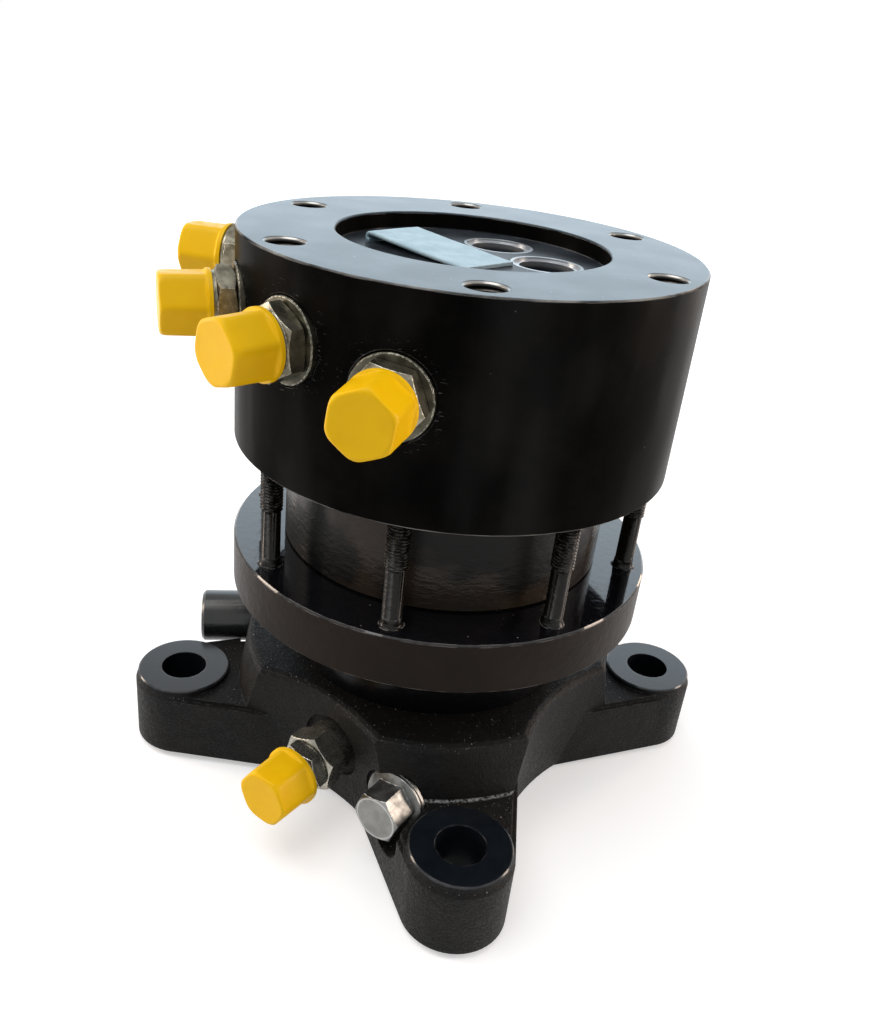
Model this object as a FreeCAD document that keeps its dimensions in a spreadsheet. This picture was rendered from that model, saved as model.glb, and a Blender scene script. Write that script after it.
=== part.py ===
import FreeCAD, Part
import math
import os
import re
import Sketcher

# A vane-motor rotator for a crane or grapple: a four-armed cast foot carries the shaft and the vane
# rotor, and the bolted stack above it (flange, stator ring, oil distributor head) turns around them.
# Origin: centre of the circle of the four lug holes, on the lugs' lower faces. +Z points up the shaft,
# and the four arms lie along the X and Y axes. All sizes are in millimetres and degrees.

SIZES = {
    # foot: hub, arms and lugs
    "hub_height": 64.0,
    "hub_ground_gap": 4.0,
    "hub_edge": 3.0,
    "root_radius_top": 93.0,
    "root_radius_low": 97.0,
    "valley_radius": 103.0,
    "valley_wall_top": 79.0,
    "valley_wall_low": 73.0,
    "lug_circle": 250.0,
    "lug_count": 4,
    "lug_end_radius": 23.7,
    "lug_pad_height": 37.0,
    "lug_boss_radius": 22.5,
    "lug_boss_rise": 3.0,
    "lug_boss_edge": 0.6,
    "lug_hole_radius": 11.0,
    "lug_foot_edge": 4.0,
    "arm_ground_gap": 3.0,
    "arm_edge": 2.2,
    "arm_root_distance": 60.0,
    "arm_root_half_width": 39.5,
    "foot_recess_radius": 58.0,
    "foot_recess_depth": 15.0,
    "foot_web_height": 34.0,
    "foot_centre_hole": 18.0,
    "shaft_foot_radius": 62.0,
    "foot_bolt_circle": 96.0,
    "foot_bolt_count": 8,
    "foot_bolt_radius": 6.0,
    "foot_bolt_hole": 6.8,
    "foot_bolt_head_radius": 9.0,
    "foot_bolt_head_height": 12.0,
    "foot_bolt_reach": 22.0,
    # shaft
    "neck_radius": 70.0,
    "neck_height": 34.4,
    "neck_gap": 0.6,
    "neck_edge": 1.5,
    "seal_journal_radius": 51.5,
    "lower_journal_radius": 50.0,
    "rotor_seat_radius": 36.0,
    "upper_journal_radius": 30.0,
    "swivel_radius": 27.0,
    "shaft_end_gap": 1.0,
    "shaft_gallery_radius": 3.0,
    "shaft_gallery_place": 17.0,
    "shaft_gallery_depth": 150.0,
    # flange below the stator ring
    "flange_radius": 100.0,
    "flange_thickness": 24.0,
    "flange_edge": 0.8,
    "flange_lip_thickness": 4.0,
    "shaft_seal_height": 5.0,
    "wiper_height": 2.6,
    "wiper_lip_rise": 0.4,
    # ball bearing in the flange and roller bearing in the head
    "lower_race_wall": 3.0,
    "lower_cup_wall": 2.8,
    "lower_ball_radius": 3.0,
    "lower_ball_count": 16,
    "upper_race_wall": 3.0,
    "upper_roller_radius": 3.4,
    "upper_roller_count": 14,
    "upper_bearing_width": 14.0,
    "upper_bearing_lift": 2.0,
    "rolling_clearance": 0.1,
    # stator ring, rotor and vanes
    "stator_outer_wall": 1.5,
    "stator_height": 50.0,
    "stator_edge": 1.0,
    "cam_long_radius": 62.0,
    "cam_short_radius": 54.4,
    "rotor_radius": 54.0,
    "vane_count": 10,
    "vane_thickness": 6.0,
    "vane_depth": 9.6,
    "vane_slot_depth": 12.0,
    "vane_tip_round": 1.2,
    "leaf_thickness": 0.5,
    "leaf_half_length": 19.0,
    "key_width": 10.0,
    "key_height": 8.0,
    "key_length": 40.0,
    "key_count": 2,
    "ring_groove_wall": 1.1,
    "ring_cord_radius": 1.5,
    # head
    "head_radius": 100.0,
    "head_height": 91.0,
    "head_edge": 0.7,
    "head_cavity_height": 27.0,
    "swivel_bore_height": 61.0,
    "recess_radius": 59.0,
    "recess_depth": 7.5,
    "recess_edge": 0.8,
    "top_bolt_circle": 173.0,
    "top_bolt_count": 6,
    "top_bolt_turn": 23.2,
    "top_bolt_radius": 7.8,
    "top_bolt_depth": 22.0,
    "top_bolt_edge": 0.9,
    "oil_port_circle": 65.2,
    "oil_port_spread": 35.0,
    "oil_port_radius": 12.0,
    "oil_port_depth": 15.0,
    "oil_port_edge": 2.6,
    "oil_port_edge_depth": 1.2,
    "gallery_radius": 4.0,
    "motor_port_radius": 57.0,
    "oil_groove_width": 3.4,
    "oil_groove_depth": 2.6,
    "swivel_pitch": 7.0,
    "swivel_start": 2.0,
    "swivel_seal_width": 2.6,
    "swivel_seal_depth": 3.4,
    "swivel_seal_count": 5,
    "nut_radius": 40.0,
    "nut_height": 9.0,
    "nut_lift": 0.5,
    "nut_slot_width": 7.0,
    "nut_slot_depth": 3.0,
    "nut_slot_count": 4,
    # clamp bolts and dowels that hold the stack together
    "clamp_bolt_circle": 180.0,
    "clamp_bolt_count": 8,
    "clamp_bolt_turn": 24.0,
    "clamp_shank_radius": 4.3,
    "clamp_thread_radius": 4.8,
    "clamp_thread_in_head": 26.0,
    "clamp_thread_shown": 15.0,
    "clamp_hole_radius": 5.0,
    "clamp_head_radius": 8.0,
    "clamp_head_height": 10.0,
    "clamp_head_well": 8.8,
    "clamp_socket_radius": 4.0,
    "clamp_socket_depth": 5.0,
    "dowel_wall": 2.4,
    "dowel_count": 2,
    "dowel_radius": 3.0,
    "dowel_reach": 8.0,
    "dowel_turn": 69.0,
    # couplings on the head
    "coupling_seat_depth": 1.5,
    "coupling_seat_radius": 17.6,
    "coupling_1_turn": 160.0,
    "coupling_1_height": 241.3,
    "coupling_1_twist": 31.0,
    "coupling_2_turn": 190.2,
    "coupling_2_height": 234.1,
    "coupling_2_twist": 37.0,
    "coupling_3_turn": 218.3,
    "coupling_3_height": 233.1,
    "coupling_3_twist": 32.0,
    "coupling_4_turn": 245.8,
    "coupling_4_height": 223.4,
    "coupling_4_twist": -7.0,
    "cap_1_twist": 31.0,
    "cap_2_twist": 34.0,
    "cap_3_twist": -13.0,
    "cap_4_twist": -7.0,
    "washer_radius": 16.8,
    "washer_thickness": 2.4,
    "washer_edge": 0.4,
    "coupling_flats": 27.0,
    "coupling_hex_length": 8.0,
    "coupling_collar_radius": 13.2,
    "coupling_collar_length": 1.2,
    "stud_radius": 10.4,
    "stud_length": 14.0,
    "stud_hole_depth": 16.0,
    "nose_radius": 11.0,
    "nose_length": 17.5,
    "nose_bore_radius": 6.5,
    "nose_cone_radius": 8.2,
    "nose_cone_depth": 7.0,
    "cap_flats": 24.4,
    "cap_corner_radius": 13.5,
    "cap_barrel_length": 19.2,
    "cap_rim_radius": 14.0,
    "cap_rim_length": 1.6,
    "cap_end_edge": 0.9,
    "cap_wall_gap": 0.5,
    # fittings on the foot
    "foot_port_turn": 227.6,
    "foot_port_height": 36.0,
    "foot_port_side": 0.9,
    "foot_port_seat": 75.0,
    "foot_port_well_radius": 16.4,
    "foot_collar_radius": 12.6,
    "foot_collar_length": 8.5,
    "foot_hex_flats": 25.8,
    "foot_hex_length": 11.0,
    "foot_hex_twist": 20.7,
    "union_nut_flats": 23.2,
    "union_nut_length": 7.2,
    "union_nut_twist": -6.0,
    "union_nut_gap": 0.4,
    "ferrule_radius": 12.2,
    "ferrule_length": 1.4,
    "foot_cap_twist": 26.0,
    "plug_turn": 227.6,
    "plug_height": 31.5,
    "plug_side": 43.0,
    "plug_seat": 80.4,
    "plug_well_radius": 17.2,
    "plug_washer_radius": 15.4,
    "plug_washer_thickness": 1.6,
    "plug_flange_radius": 14.9,
    "plug_flange_length": 1.6,
    "plug_flats": 21.0,
    "plug_hex_length": 13.6,
    "plug_twist": 10.0,
    "stub_turn": 180.0,
    "stub_height": 42.5,
    "stub_side": -42.5,
    "stub_seat": 68.0,
    "stub_well_radius": 18.0,
    "stub_radius": 13.8,
    "stub_end": 119.0,
    "stub_edge": 1.4,
    "stub_collar_radius": 15.5,
    "stub_collar_length": 3.0,
    "well_reach": 30.0,
    "foot_stud_length": 8.0,
    "foot_stud_hole_depth": 9.0,
    # strip that lies in the recess
    "strip_length": 60.0,
    "strip_width": 30.0,
    "strip_thickness": 1.5,
    "strip_leg": 3.5,
    "strip_flat_end": 4.0,
    "strip_turn": 308.3,
    "strip_centre_x": -14.9,
    "strip_centre_y": 0.7,
    # shapes shared by several hexagons: shares of the width over flats
    "hex_bevel_inside": 0.49,
    "hex_bevel_outside": 0.62,
    "hex_bevel_depth": 0.075,
    # amounts that cutting tools run past a surface, and small edges
    "tool_overrun": 1.0,
    "small_edge": 1.0,
    # clearances
    "thread_clearance": 0.05,
    "running_clearance": 0.04,
    "seat_clearance": 0.02,
    "face_clearance": 0.1,
}

doc = FreeCAD.newDocument("hydraulic_rotator")
sheet = doc.addObject("Spreadsheet::Sheet", "Sizes")
for row, (alias, number) in enumerate(SIZES.items(), start=1):
    sheet.set(f"A{row}", alias.replace("_", " "))
    sheet.set(f"B{row}", str(number))
    sheet.setAlias(f"B{row}", alias)
doc.recompute()

# Heights and radii that follow from the sizes, as rules for the document
flange_low = "(hub_height + neck_height + neck_gap)"
flange_top = f"({flange_low} + flange_thickness)"
head_low = f"({flange_top} + stator_height)"
head_top = f"({head_low} + head_height)"
recess_floor = f"({head_top} - recess_depth)"
cavity_top = f"({head_low} + head_cavity_height)"
swivel_top = f"({head_low} + swivel_bore_height)"
lip_low = f"({flange_top} - flange_lip_thickness)"
upper_bearing_low = f"({head_low} + upper_bearing_lift)"
upper_bearing_top = f"({upper_bearing_low} + upper_bearing_width)"
upper_roller_place = "(upper_journal_radius + upper_race_wall + rolling_clearance + upper_roller_radius)"
upper_cup_radius = f"({upper_roller_place} + upper_roller_radius + rolling_clearance + upper_race_wall)"
lower_ball_place = "(lower_journal_radius + lower_race_wall + rolling_clearance + lower_ball_radius)"
lower_cup_radius = f"({lower_ball_place} + lower_ball_radius + rolling_clearance + lower_cup_wall)"
lower_bearing_low = f"({flange_low} + wiper_height + shaft_seal_height + 2 * face_clearance)"
clamp_place = "(clamp_bolt_circle / 2)"
ring_place = "(cam_long_radius + ring_groove_wall + ring_cord_radius)"
dowel_place = f"({ring_place} + ring_cord_radius + dowel_wall + dowel_radius)"
stator_outside = f"({dowel_place} + dowel_radius + stator_outer_wall)"
coupling_seat = "(head_radius - coupling_seat_depth)"
cap_start = f"({coupling_seat} + washer_thickness + coupling_hex_length + coupling_collar_length)"
foot_hex_start = "(foot_port_seat + foot_collar_length)"
union_nut_start = f"({foot_hex_start} + foot_hex_length + union_nut_gap)"
ferrule_start = f"({union_nut_start} + union_nut_length)"
foot_cap_start = f"({ferrule_start} + ferrule_length)"

UP = FreeCAD.Vector(0, 0, 1)


def size(alias):
    """Number in the sheet under this name."""
    return float(sheet.get(alias))


def bind(item, path, rule):
    """Tie a property to a rule that is written with the names in the sheet."""
    item.setExpression(path, re.sub(r"\b([a-z]+(?:_[a-z0-9]+)+)\b", r"Sizes.\1", rule))


def origin_part(body, role):
    return next(part for part in body.Origin.OriginFeatures if part.Role == role)


def new_body(name, turn=None, height=None):
    """Empty body, turned about the shaft axis and lifted where its rules say so."""
    body = doc.addObject("PartDesign::Body", name)
    body.Label = name
    if turn is not None:
        body.Placement = FreeCAD.Placement(FreeCAD.Vector(), FreeCAD.Rotation(UP, 1))
        bind(body, "Placement.Rotation.Angle", turn)
    if height is not None:
        bind(body, "Placement.Base.z", height)
    return body


def new_sketch(body, name, plane, offset=None, turn=None):
    """Sketch on one of the body's origin planes, moved along its normal or turned about the shaft."""
    sketch = body.newObject("Sketcher::SketchObject", name)
    sketch.AttachmentSupport = [(origin_part(body, plane), "")]
    sketch.MapMode = "FlatFace"
    if offset is not None:
        bind(sketch, "AttachmentOffset.Base.z", offset)
    if turn is not None:
        spin_axis = FreeCAD.Vector(0, 1, 0)
        sketch.AttachmentOffset = FreeCAD.Placement(FreeCAD.Vector(), FreeCAD.Rotation(spin_axis, 1))
        bind(sketch, "AttachmentOffset.Rotation.Angle", turn)
    return sketch


def fix_point(sketch, line, end, place):
    """Hold one end of a line at a pair of rules, measured from the sketch's origin."""
    for kind, axis, rule in (("DistanceX", -2, place[0]), ("DistanceY", -1, place[1])):
        if rule == "0":
            sketch.addConstraint(Sketcher.Constraint("PointOnObject", line, end, axis))
            continue
        index = sketch.addConstraint(Sketcher.Constraint(kind, -1, 1, line, end, 1.0))
        label = f"{kind}_{line}_{end}"
        sketch.renameConstraint(index, label)
        bind(sketch, f"Constraints.{label}", rule)


def draw_outline(sketch, corners, axis=None):
    """Closed outline through the corners, and a centre line where a turned form needs one."""
    count = len(corners)
    start = [FreeCAD.Vector(math.cos(2 * math.pi * step / count), math.sin(2 * math.pi * step / count), 0)
             for step in range(count)]
    for step in range(count):
        sketch.addGeometry(Part.LineSegment(start[step], start[(step + 1) % count]), False)
    for step in range(count):
        sketch.addConstraint(Sketcher.Constraint("Coincident", step, 2, (step + 1) % count, 1))
    for step, corner in enumerate(corners):
        fix_point(sketch, step, 1, corner)
    if axis is not None:
        sketch.addGeometry(Part.LineSegment(FreeCAD.Vector(2, 0, 0), FreeCAD.Vector(3, 1, 0)), True)
        fix_point(sketch, count, 1, axis[0])
        fix_point(sketch, count, 2, axis[1])
    return sketch


def turned(body, name, corners, axis=None, cut=False, turn=None):
    """Solid or cut of revolution; without a centre line it turns about the shaft axis."""
    sketch = draw_outline(new_sketch(body, name + "_section", "XZ_Plane", turn=turn), corners, axis)
    feature = body.newObject("PartDesign::Groove" if cut else "PartDesign::Revolution", name)
    feature.Profile = sketch
    feature.ReferenceAxis = (sketch, ["V_Axis" if axis is None else "Axis0"])
    feature.Angle = 360
    return feature


def turned_along(body, name, corners, cut=False):
    """Turned about the body's X axis, which points outwards along a fitting."""
    sketch = draw_outline(new_sketch(body, name + "_section", "XZ_Plane"), corners)
    feature = body.newObject("PartDesign::Groove" if cut else "PartDesign::Revolution", name)
    feature.Profile = sketch
    feature.ReferenceAxis = (sketch, ["H_Axis"])
    feature.Angle = 360
    return feature


def patterned(body, name, originals, count):
    """The originals, repeated evenly about the shaft axis."""
    pattern = body.newObject("PartDesign::PolarPattern", name)
    pattern.Originals = originals
    pattern.Axis = (origin_part(body, "Z_Axis"), [""])
    pattern.Angle = 360
    bind(pattern, "Occurrences", count)
    body.Tip = pattern
    return pattern


def drilled(body, name, place, low, high, radius, turn=None):
    """Round hole parallel to the shaft, at a distance from it."""
    corners = [(place, low), (f"{place} + {radius}", low), (f"{place} + {radius}", high), (place, high)]
    return turned(body, name, corners, axis=((place, low), (place, high)), cut=True, turn=turn)


def gallery(body, name, turn, start, end, radius):
    """Slanted drilling between two points that are given by distance from the shaft and height."""
    run = f"(({end[0]}) - ({start[0]}))"
    rise = f"(({end[1]}) - ({start[1]}))"
    length = f"sqrt({run} * {run} + {rise} * {rise})"
    aside = f"(-({radius}) * {rise} / {length})"
    above = f"(({radius}) * {run} / {length})"
    corners = [start, (f"{start[0]} + {aside}", f"{start[1]} + {above}"),
               (f"{end[0]} + {aside}", f"{end[1]} + {above}"), end]
    return turned(body, name, corners, axis=(start, end), cut=True, turn=turn)


def hex_block(body, name, flats, start, length, twist):
    """Hexagonal length of a fitting along the body's X axis; twist turns its corners about that axis."""
    sketch = new_sketch(body, name + "_outline", "YZ_Plane", offset=start)
    corner = f"(({flats}) / sqrt(3))"
    draw_outline(sketch, [(f"{corner} * cos({60 * step} + {twist})", f"{corner} * sin({60 * step} + {twist})")
                          for step in range(6)])
    pad = body.newObject("PartDesign::Pad", name)
    pad.Profile = sketch
    bind(pad, "Length", length)
    return pad


def hex_bevel(body, name, flats, face, into):
    """Turned bevel on the hexagon's corners at one of its faces; into is 1 or -1 along the fitting."""
    flat = f"({flats} * hex_bevel_inside)"
    corner = f"({flats} * hex_bevel_outside)"
    depth = f"({flats} * hex_bevel_depth)"
    corners = [(face, flat), (face, corner), (f"{face} + ({into}) * {depth}", corner)]
    return turned_along(body, name, corners, cut=True)


def distributor_head():
    """Steel head that feeds the oil in: bolt face and oil ports on top, couplings round its side."""
    body = new_body("distributor_head")
    turned(body, "head_blank", [
        ("0", recess_floor),
        ("recess_radius", recess_floor),
        ("recess_radius", f"{head_top} - recess_edge"),
        ("recess_radius + recess_edge", head_top),
        ("head_radius - head_edge", head_top),
        ("head_radius", f"{head_top} - head_edge"),
        ("head_radius", f"{head_low} + head_edge"),
        ("head_radius - head_edge", head_low),
        (f"{upper_cup_radius} + seat_clearance", head_low),
        (f"{upper_cup_radius} + seat_clearance", cavity_top),
        ("swivel_radius", cavity_top),
        ("swivel_radius", swivel_top),
        ("0", swivel_top),
    ])
    top_place = "(top_bolt_circle / 2)"
    tapped = turned(body, "top_bolt_hole", [
        (top_place, f"{head_top} - top_bolt_depth"),
        (f"{top_place} + top_bolt_radius", f"{head_top} - top_bolt_depth"),
        (f"{top_place} + top_bolt_radius", f"{head_top} - top_bolt_edge"),
        (f"{top_place} + top_bolt_radius + top_bolt_edge", head_top),
        (top_place, head_top),
    ], axis=((top_place, head_low), (top_place, head_top)), cut=True, turn="top_bolt_turn")
    patterned(body, "top_bolt_holes", [tapped], "top_bolt_count")
    clamp = drilled(body, "clamp_thread", clamp_place, head_low,
                    f"{head_low} + clamp_thread_in_head + 2 * tool_overrun",
                    "(clamp_thread_radius + thread_clearance)", turn="clamp_bolt_turn")
    patterned(body, "clamp_threads", [clamp], "clamp_bolt_count")
    dowel = drilled(body, "head_dowel_hole", dowel_place, head_low,
                    f"{head_low} + dowel_reach + face_clearance", "(dowel_radius + seat_clearance)",
                    turn="dowel_turn")
    patterned(body, "head_dowel_holes", [dowel], "dowel_count")
    port_place = "(oil_port_circle / 2)"
    for side, name in ((-1, "oil_port_a"), (1, "oil_port_b")):
        turn = f"top_bolt_turn + ({side}) * oil_port_spread"
        turned(body, name, [
            (port_place, f"{recess_floor} - oil_port_depth"),
            (f"{port_place} + oil_port_radius", f"{recess_floor} - oil_port_depth"),
            (f"{port_place} + oil_port_radius", f"{recess_floor} - oil_port_edge_depth"),
            (f"{port_place} + oil_port_radius + oil_port_edge", f"{recess_floor} - oil_port_edge_depth"),
            (f"{port_place} + oil_port_radius + oil_port_edge", recess_floor),
            (port_place, recess_floor),
        ], axis=((port_place, head_low), (port_place, head_top)), cut=True, turn=turn)
        port_floor = f"({recess_floor} - oil_port_depth + tool_overrun)"
        gallery(body, name + "_gallery", turn, (port_place, port_floor),
                ("motor_port_radius", head_low), "gallery_radius")
    for step in range(1, 5):
        turn = f"coupling_{step}_turn"
        middle = f"coupling_{step}_height"
        hole = "(stud_radius + thread_clearance)"
        turned(body, f"coupling_{step}_port", [
            (f"{coupling_seat} - stud_hole_depth", middle),
            (f"{coupling_seat} - stud_hole_depth", f"{middle} + {hole}"),
            (coupling_seat, f"{middle} + {hole}"),
            (coupling_seat, f"{middle} + coupling_seat_radius"),
            ("head_radius + tool_overrun", f"{middle} + coupling_seat_radius"),
            ("head_radius + tool_overrun", middle),
        ], axis=((coupling_seat, middle), ("head_radius", middle)), cut=True, turn=turn)
        groove = f"({cavity_top} + swivel_start + swivel_pitch * {step - 0.5})"
        gallery(body, f"coupling_{step}_gallery", turn, ("(swivel_radius - tool_overrun)", groove),
                (f"({coupling_seat} - stud_hole_depth + 2 * tool_overrun)", middle), "gallery_radius")
    for step in range(int(size("swivel_seal_count"))):
        low = f"({cavity_top} + swivel_start + swivel_pitch * {step} - swivel_seal_width / 2)"
        turned(body, f"swivel_seal_groove_{step + 1}", [
            ("swivel_radius - tool_overrun", low),
            ("swivel_radius + swivel_seal_depth", low),
            ("swivel_radius + swivel_seal_depth", f"{low} + swivel_seal_width"),
            ("swivel_radius - tool_overrun", f"{low} + swivel_seal_width"),
        ], cut=True)
    return body


def swivel_seals():
    """Filled plastic slip rings that part the oil channels between the head and the shaft."""
    body = new_body("swivel_seals")
    for step in range(int(size("swivel_seal_count"))):
        middle = f"{cavity_top} + swivel_start + swivel_pitch * {step}"
        low = f"({middle} - swivel_seal_width / 2 + seat_clearance)"
        turned(body, f"swivel_seal_{step + 1}", [
            ("swivel_radius", low),
            ("swivel_radius + swivel_seal_depth - seat_clearance", low),
            ("swivel_radius + swivel_seal_depth - seat_clearance",
             f"{low} + swivel_seal_width - 2 * seat_clearance"),
            ("swivel_radius", f"{low} + swivel_seal_width - 2 * seat_clearance"),
        ])
    return body


def stator_ring():
    """Ring with the oval cam track that the vanes follow, clamped between the flange and the head."""
    body = new_body("stator_blank")
    groove_in = f"({ring_place} - ring_cord_radius - seat_clearance)"
    groove_out = f"({ring_place} + ring_cord_radius + seat_clearance)"
    groove_depth = "(2 * ring_cord_radius + seat_clearance)"
    turned(body, "stator_wall", [
        ("cam_short_radius - 2 * tool_overrun", flange_top),
        (groove_in, flange_top),
        (groove_in, f"{flange_top} + {groove_depth}"),
        (groove_out, f"{flange_top} + {groove_depth}"),
        (groove_out, flange_top),
        (f"{stator_outside} - stator_edge", flange_top),
        (stator_outside, f"{flange_top} + stator_edge"),
        (stator_outside, f"{head_low} - stator_edge"),
        (f"{stator_outside} - stator_edge", head_low),
        (groove_out, head_low),
        (groove_out, f"{head_low} - {groove_depth}"),
        (groove_in, f"{head_low} - {groove_depth}"),
        (groove_in, head_low),
        ("cam_short_radius - 2 * tool_overrun", head_low),
    ])
    dowel = drilled(body, "stator_dowel_hole", dowel_place, f"{flange_top} - tool_overrun",
                    f"{head_low} + tool_overrun", "(dowel_radius + seat_clearance)", turn="dowel_turn")
    patterned(body, "stator_dowel_holes", [dowel], "dowel_count")
    track = doc.addObject("Part::Ellipse", "cam_track")
    bind(track, "MajorRadius", "cam_long_radius")
    bind(track, "MinorRadius", "cam_short_radius")
    cam = doc.addObject("Part::Extrusion", "cam_opening")
    cam.Base = track
    cam.DirMode = "Custom"
    cam.Dir = UP
    cam.Solid = True
    bind(cam, "LengthFwd", "stator_height + 2 * tool_overrun")
    cam.Placement = FreeCAD.Placement(FreeCAD.Vector(), FreeCAD.Rotation(UP, 1))
    bind(cam, "Placement.Rotation.Angle", "top_bolt_turn")
    bind(cam, "Placement.Base.z", f"{flange_top} - tool_overrun")
    ring = doc.addObject("Part::Cut", "stator_ring")
    ring.Base = body
    ring.Tool = cam
    ring.Label = "stator_ring"
    return ring


def stator_o_rings():
    """Rubber cords that seal the two faces of the stator ring."""
    low = doc.addObject("Part::Torus", "lower_o_ring")
    high = doc.addObject("Part::Torus", "upper_o_ring")
    for ring, height in ((low, f"{flange_top} + ring_cord_radius"), (high, f"{head_low} - ring_cord_radius")):
        bind(ring, "Radius1", ring_place)
        bind(ring, "Radius2", "ring_cord_radius - seat_clearance")
        bind(ring, "Placement.Base.z", height)
    pair = doc.addObject("Part::Compound", "stator_o_rings")
    pair.Links = [low, high]
    pair.Label = "stator_o_rings"
    return pair


def lower_flange():
    """Thick steel flange under the stator ring: bearing and seal seat inside, bolt wells below."""
    body = new_body("lower_flange")
    turned(body, "flange_blank", [
        ("lower_journal_radius + 2 * running_clearance", lip_low),
        ("lower_journal_radius + 2 * running_clearance", flange_top),
        ("flange_radius - flange_edge", flange_top),
        ("flange_radius", f"{flange_top} - flange_edge"),
        ("flange_radius", f"{flange_low} + flange_edge"),
        ("flange_radius - flange_edge", flange_low),
        (f"{lower_cup_radius} + seat_clearance", flange_low),
        (f"{lower_cup_radius} + seat_clearance", lip_low),
    ])
    well = turned(body, "clamp_well", [
        (clamp_place, flange_low),
        (f"{clamp_place} + clamp_head_well", flange_low),
        (f"{clamp_place} + clamp_head_well", f"{flange_low} + clamp_head_height + tool_overrun"),
        (f"{clamp_place} + clamp_hole_radius", f"{flange_low} + clamp_head_height + tool_overrun"),
        (f"{clamp_place} + clamp_hole_radius", flange_top),
        (clamp_place, flange_top),
    ], axis=((clamp_place, flange_low), (clamp_place, flange_top)), cut=True, turn="clamp_bolt_turn")
    patterned(body, "clamp_wells", [well], "clamp_bolt_count")
    dowel = drilled(body, "flange_dowel_hole", dowel_place,
                    f"{flange_top} - dowel_reach - face_clearance", flange_top,
                    "(dowel_radius + seat_clearance)", turn="dowel_turn")
    patterned(body, "flange_dowel_holes", [dowel], "dowel_count")
    return body


def clamp_bolts():
    """Socket-head screws that enter from below, pass the flange and pull on threads in the head."""
    body = new_body("clamp_bolts", turn="clamp_bolt_turn")
    seat = f"({flange_low} + clamp_head_height + tool_overrun)"
    low = f"({seat} - clamp_head_height)"
    bolt = turned(body, "clamp_bolt", [
        (clamp_place, f"{low} + clamp_socket_depth"),
        (f"{clamp_place} + clamp_socket_radius", f"{low} + clamp_socket_depth"),
        (f"{clamp_place} + clamp_socket_radius", low),
        (f"{clamp_place} + clamp_head_radius", low),
        (f"{clamp_place} + clamp_head_radius", seat),
        (f"{clamp_place} + clamp_shank_radius", seat),
        (f"{clamp_place} + clamp_shank_radius", f"{head_low} - clamp_thread_shown"),
        (f"{clamp_place} + clamp_thread_radius", f"{head_low} - clamp_thread_shown"),
        (f"{clamp_place} + clamp_thread_radius", f"{head_low} + clamp_thread_in_head - small_edge"),
        (f"{clamp_place} + clamp_thread_radius - small_edge", f"{head_low} + clamp_thread_in_head"),
        (clamp_place, f"{head_low} + clamp_thread_in_head"),
    ], axis=((clamp_place, flange_low), (clamp_place, head_low)))
    patterned(body, "clamp_bolt_ring", [bolt], "clamp_bolt_count")
    return body


def dowel_pins():
    """Ground pins that line the flange, the stator ring and the head up."""
    body = new_body("dowel_pins", turn="dowel_turn")
    low = f"({flange_top} - dowel_reach)"
    high = f"({head_low} + dowel_reach)"
    pin = turned(body, "dowel_pin", [
        (dowel_place, low),
        (f"{dowel_place} + dowel_radius - small_edge / 2", low),
        (f"{dowel_place} + dowel_radius", f"{low} + small_edge / 2"),
        (f"{dowel_place} + dowel_radius", f"{high} - small_edge / 2"),
        (f"{dowel_place} + dowel_radius - small_edge / 2", high),
        (dowel_place, high),
    ], axis=((dowel_place, low), (dowel_place, high)))
    patterned(body, "dowel_pin_pair", [pin], "dowel_count")
    return body


def ring(name, inner, outer, low, high):
    """Plain turned ring about the shaft."""
    body = new_body(name)
    turned(body, name + "_ring", [(inner, low), (outer, low), (outer, high), (inner, high)])
    return body


def shaft_seals():
    """Rubber shaft seal below the ball bearing, and the wiper that keeps dirt away from it."""
    inner = "(seal_journal_radius + running_clearance)"
    seal_low = f"({flange_low} + wiper_height + face_clearance)"
    ring("shaft_seal", inner, lower_cup_radius, seal_low, f"{seal_low} + shaft_seal_height")
    wiper = new_body("dust_wiper")
    turned(wiper, "wiper_section", [
        (inner, f"{flange_low} - wiper_lip_rise"),
        (f"{inner} + 3 * wiper_lip_rise", f"{flange_low} - wiper_lip_rise"),
        (f"{inner} + 7 * wiper_lip_rise", flange_low),
        (lower_cup_radius, flange_low),
        (lower_cup_radius, f"{flange_low} + wiper_height"),
        (inner, f"{flange_low} + wiper_height"),
    ])


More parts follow.
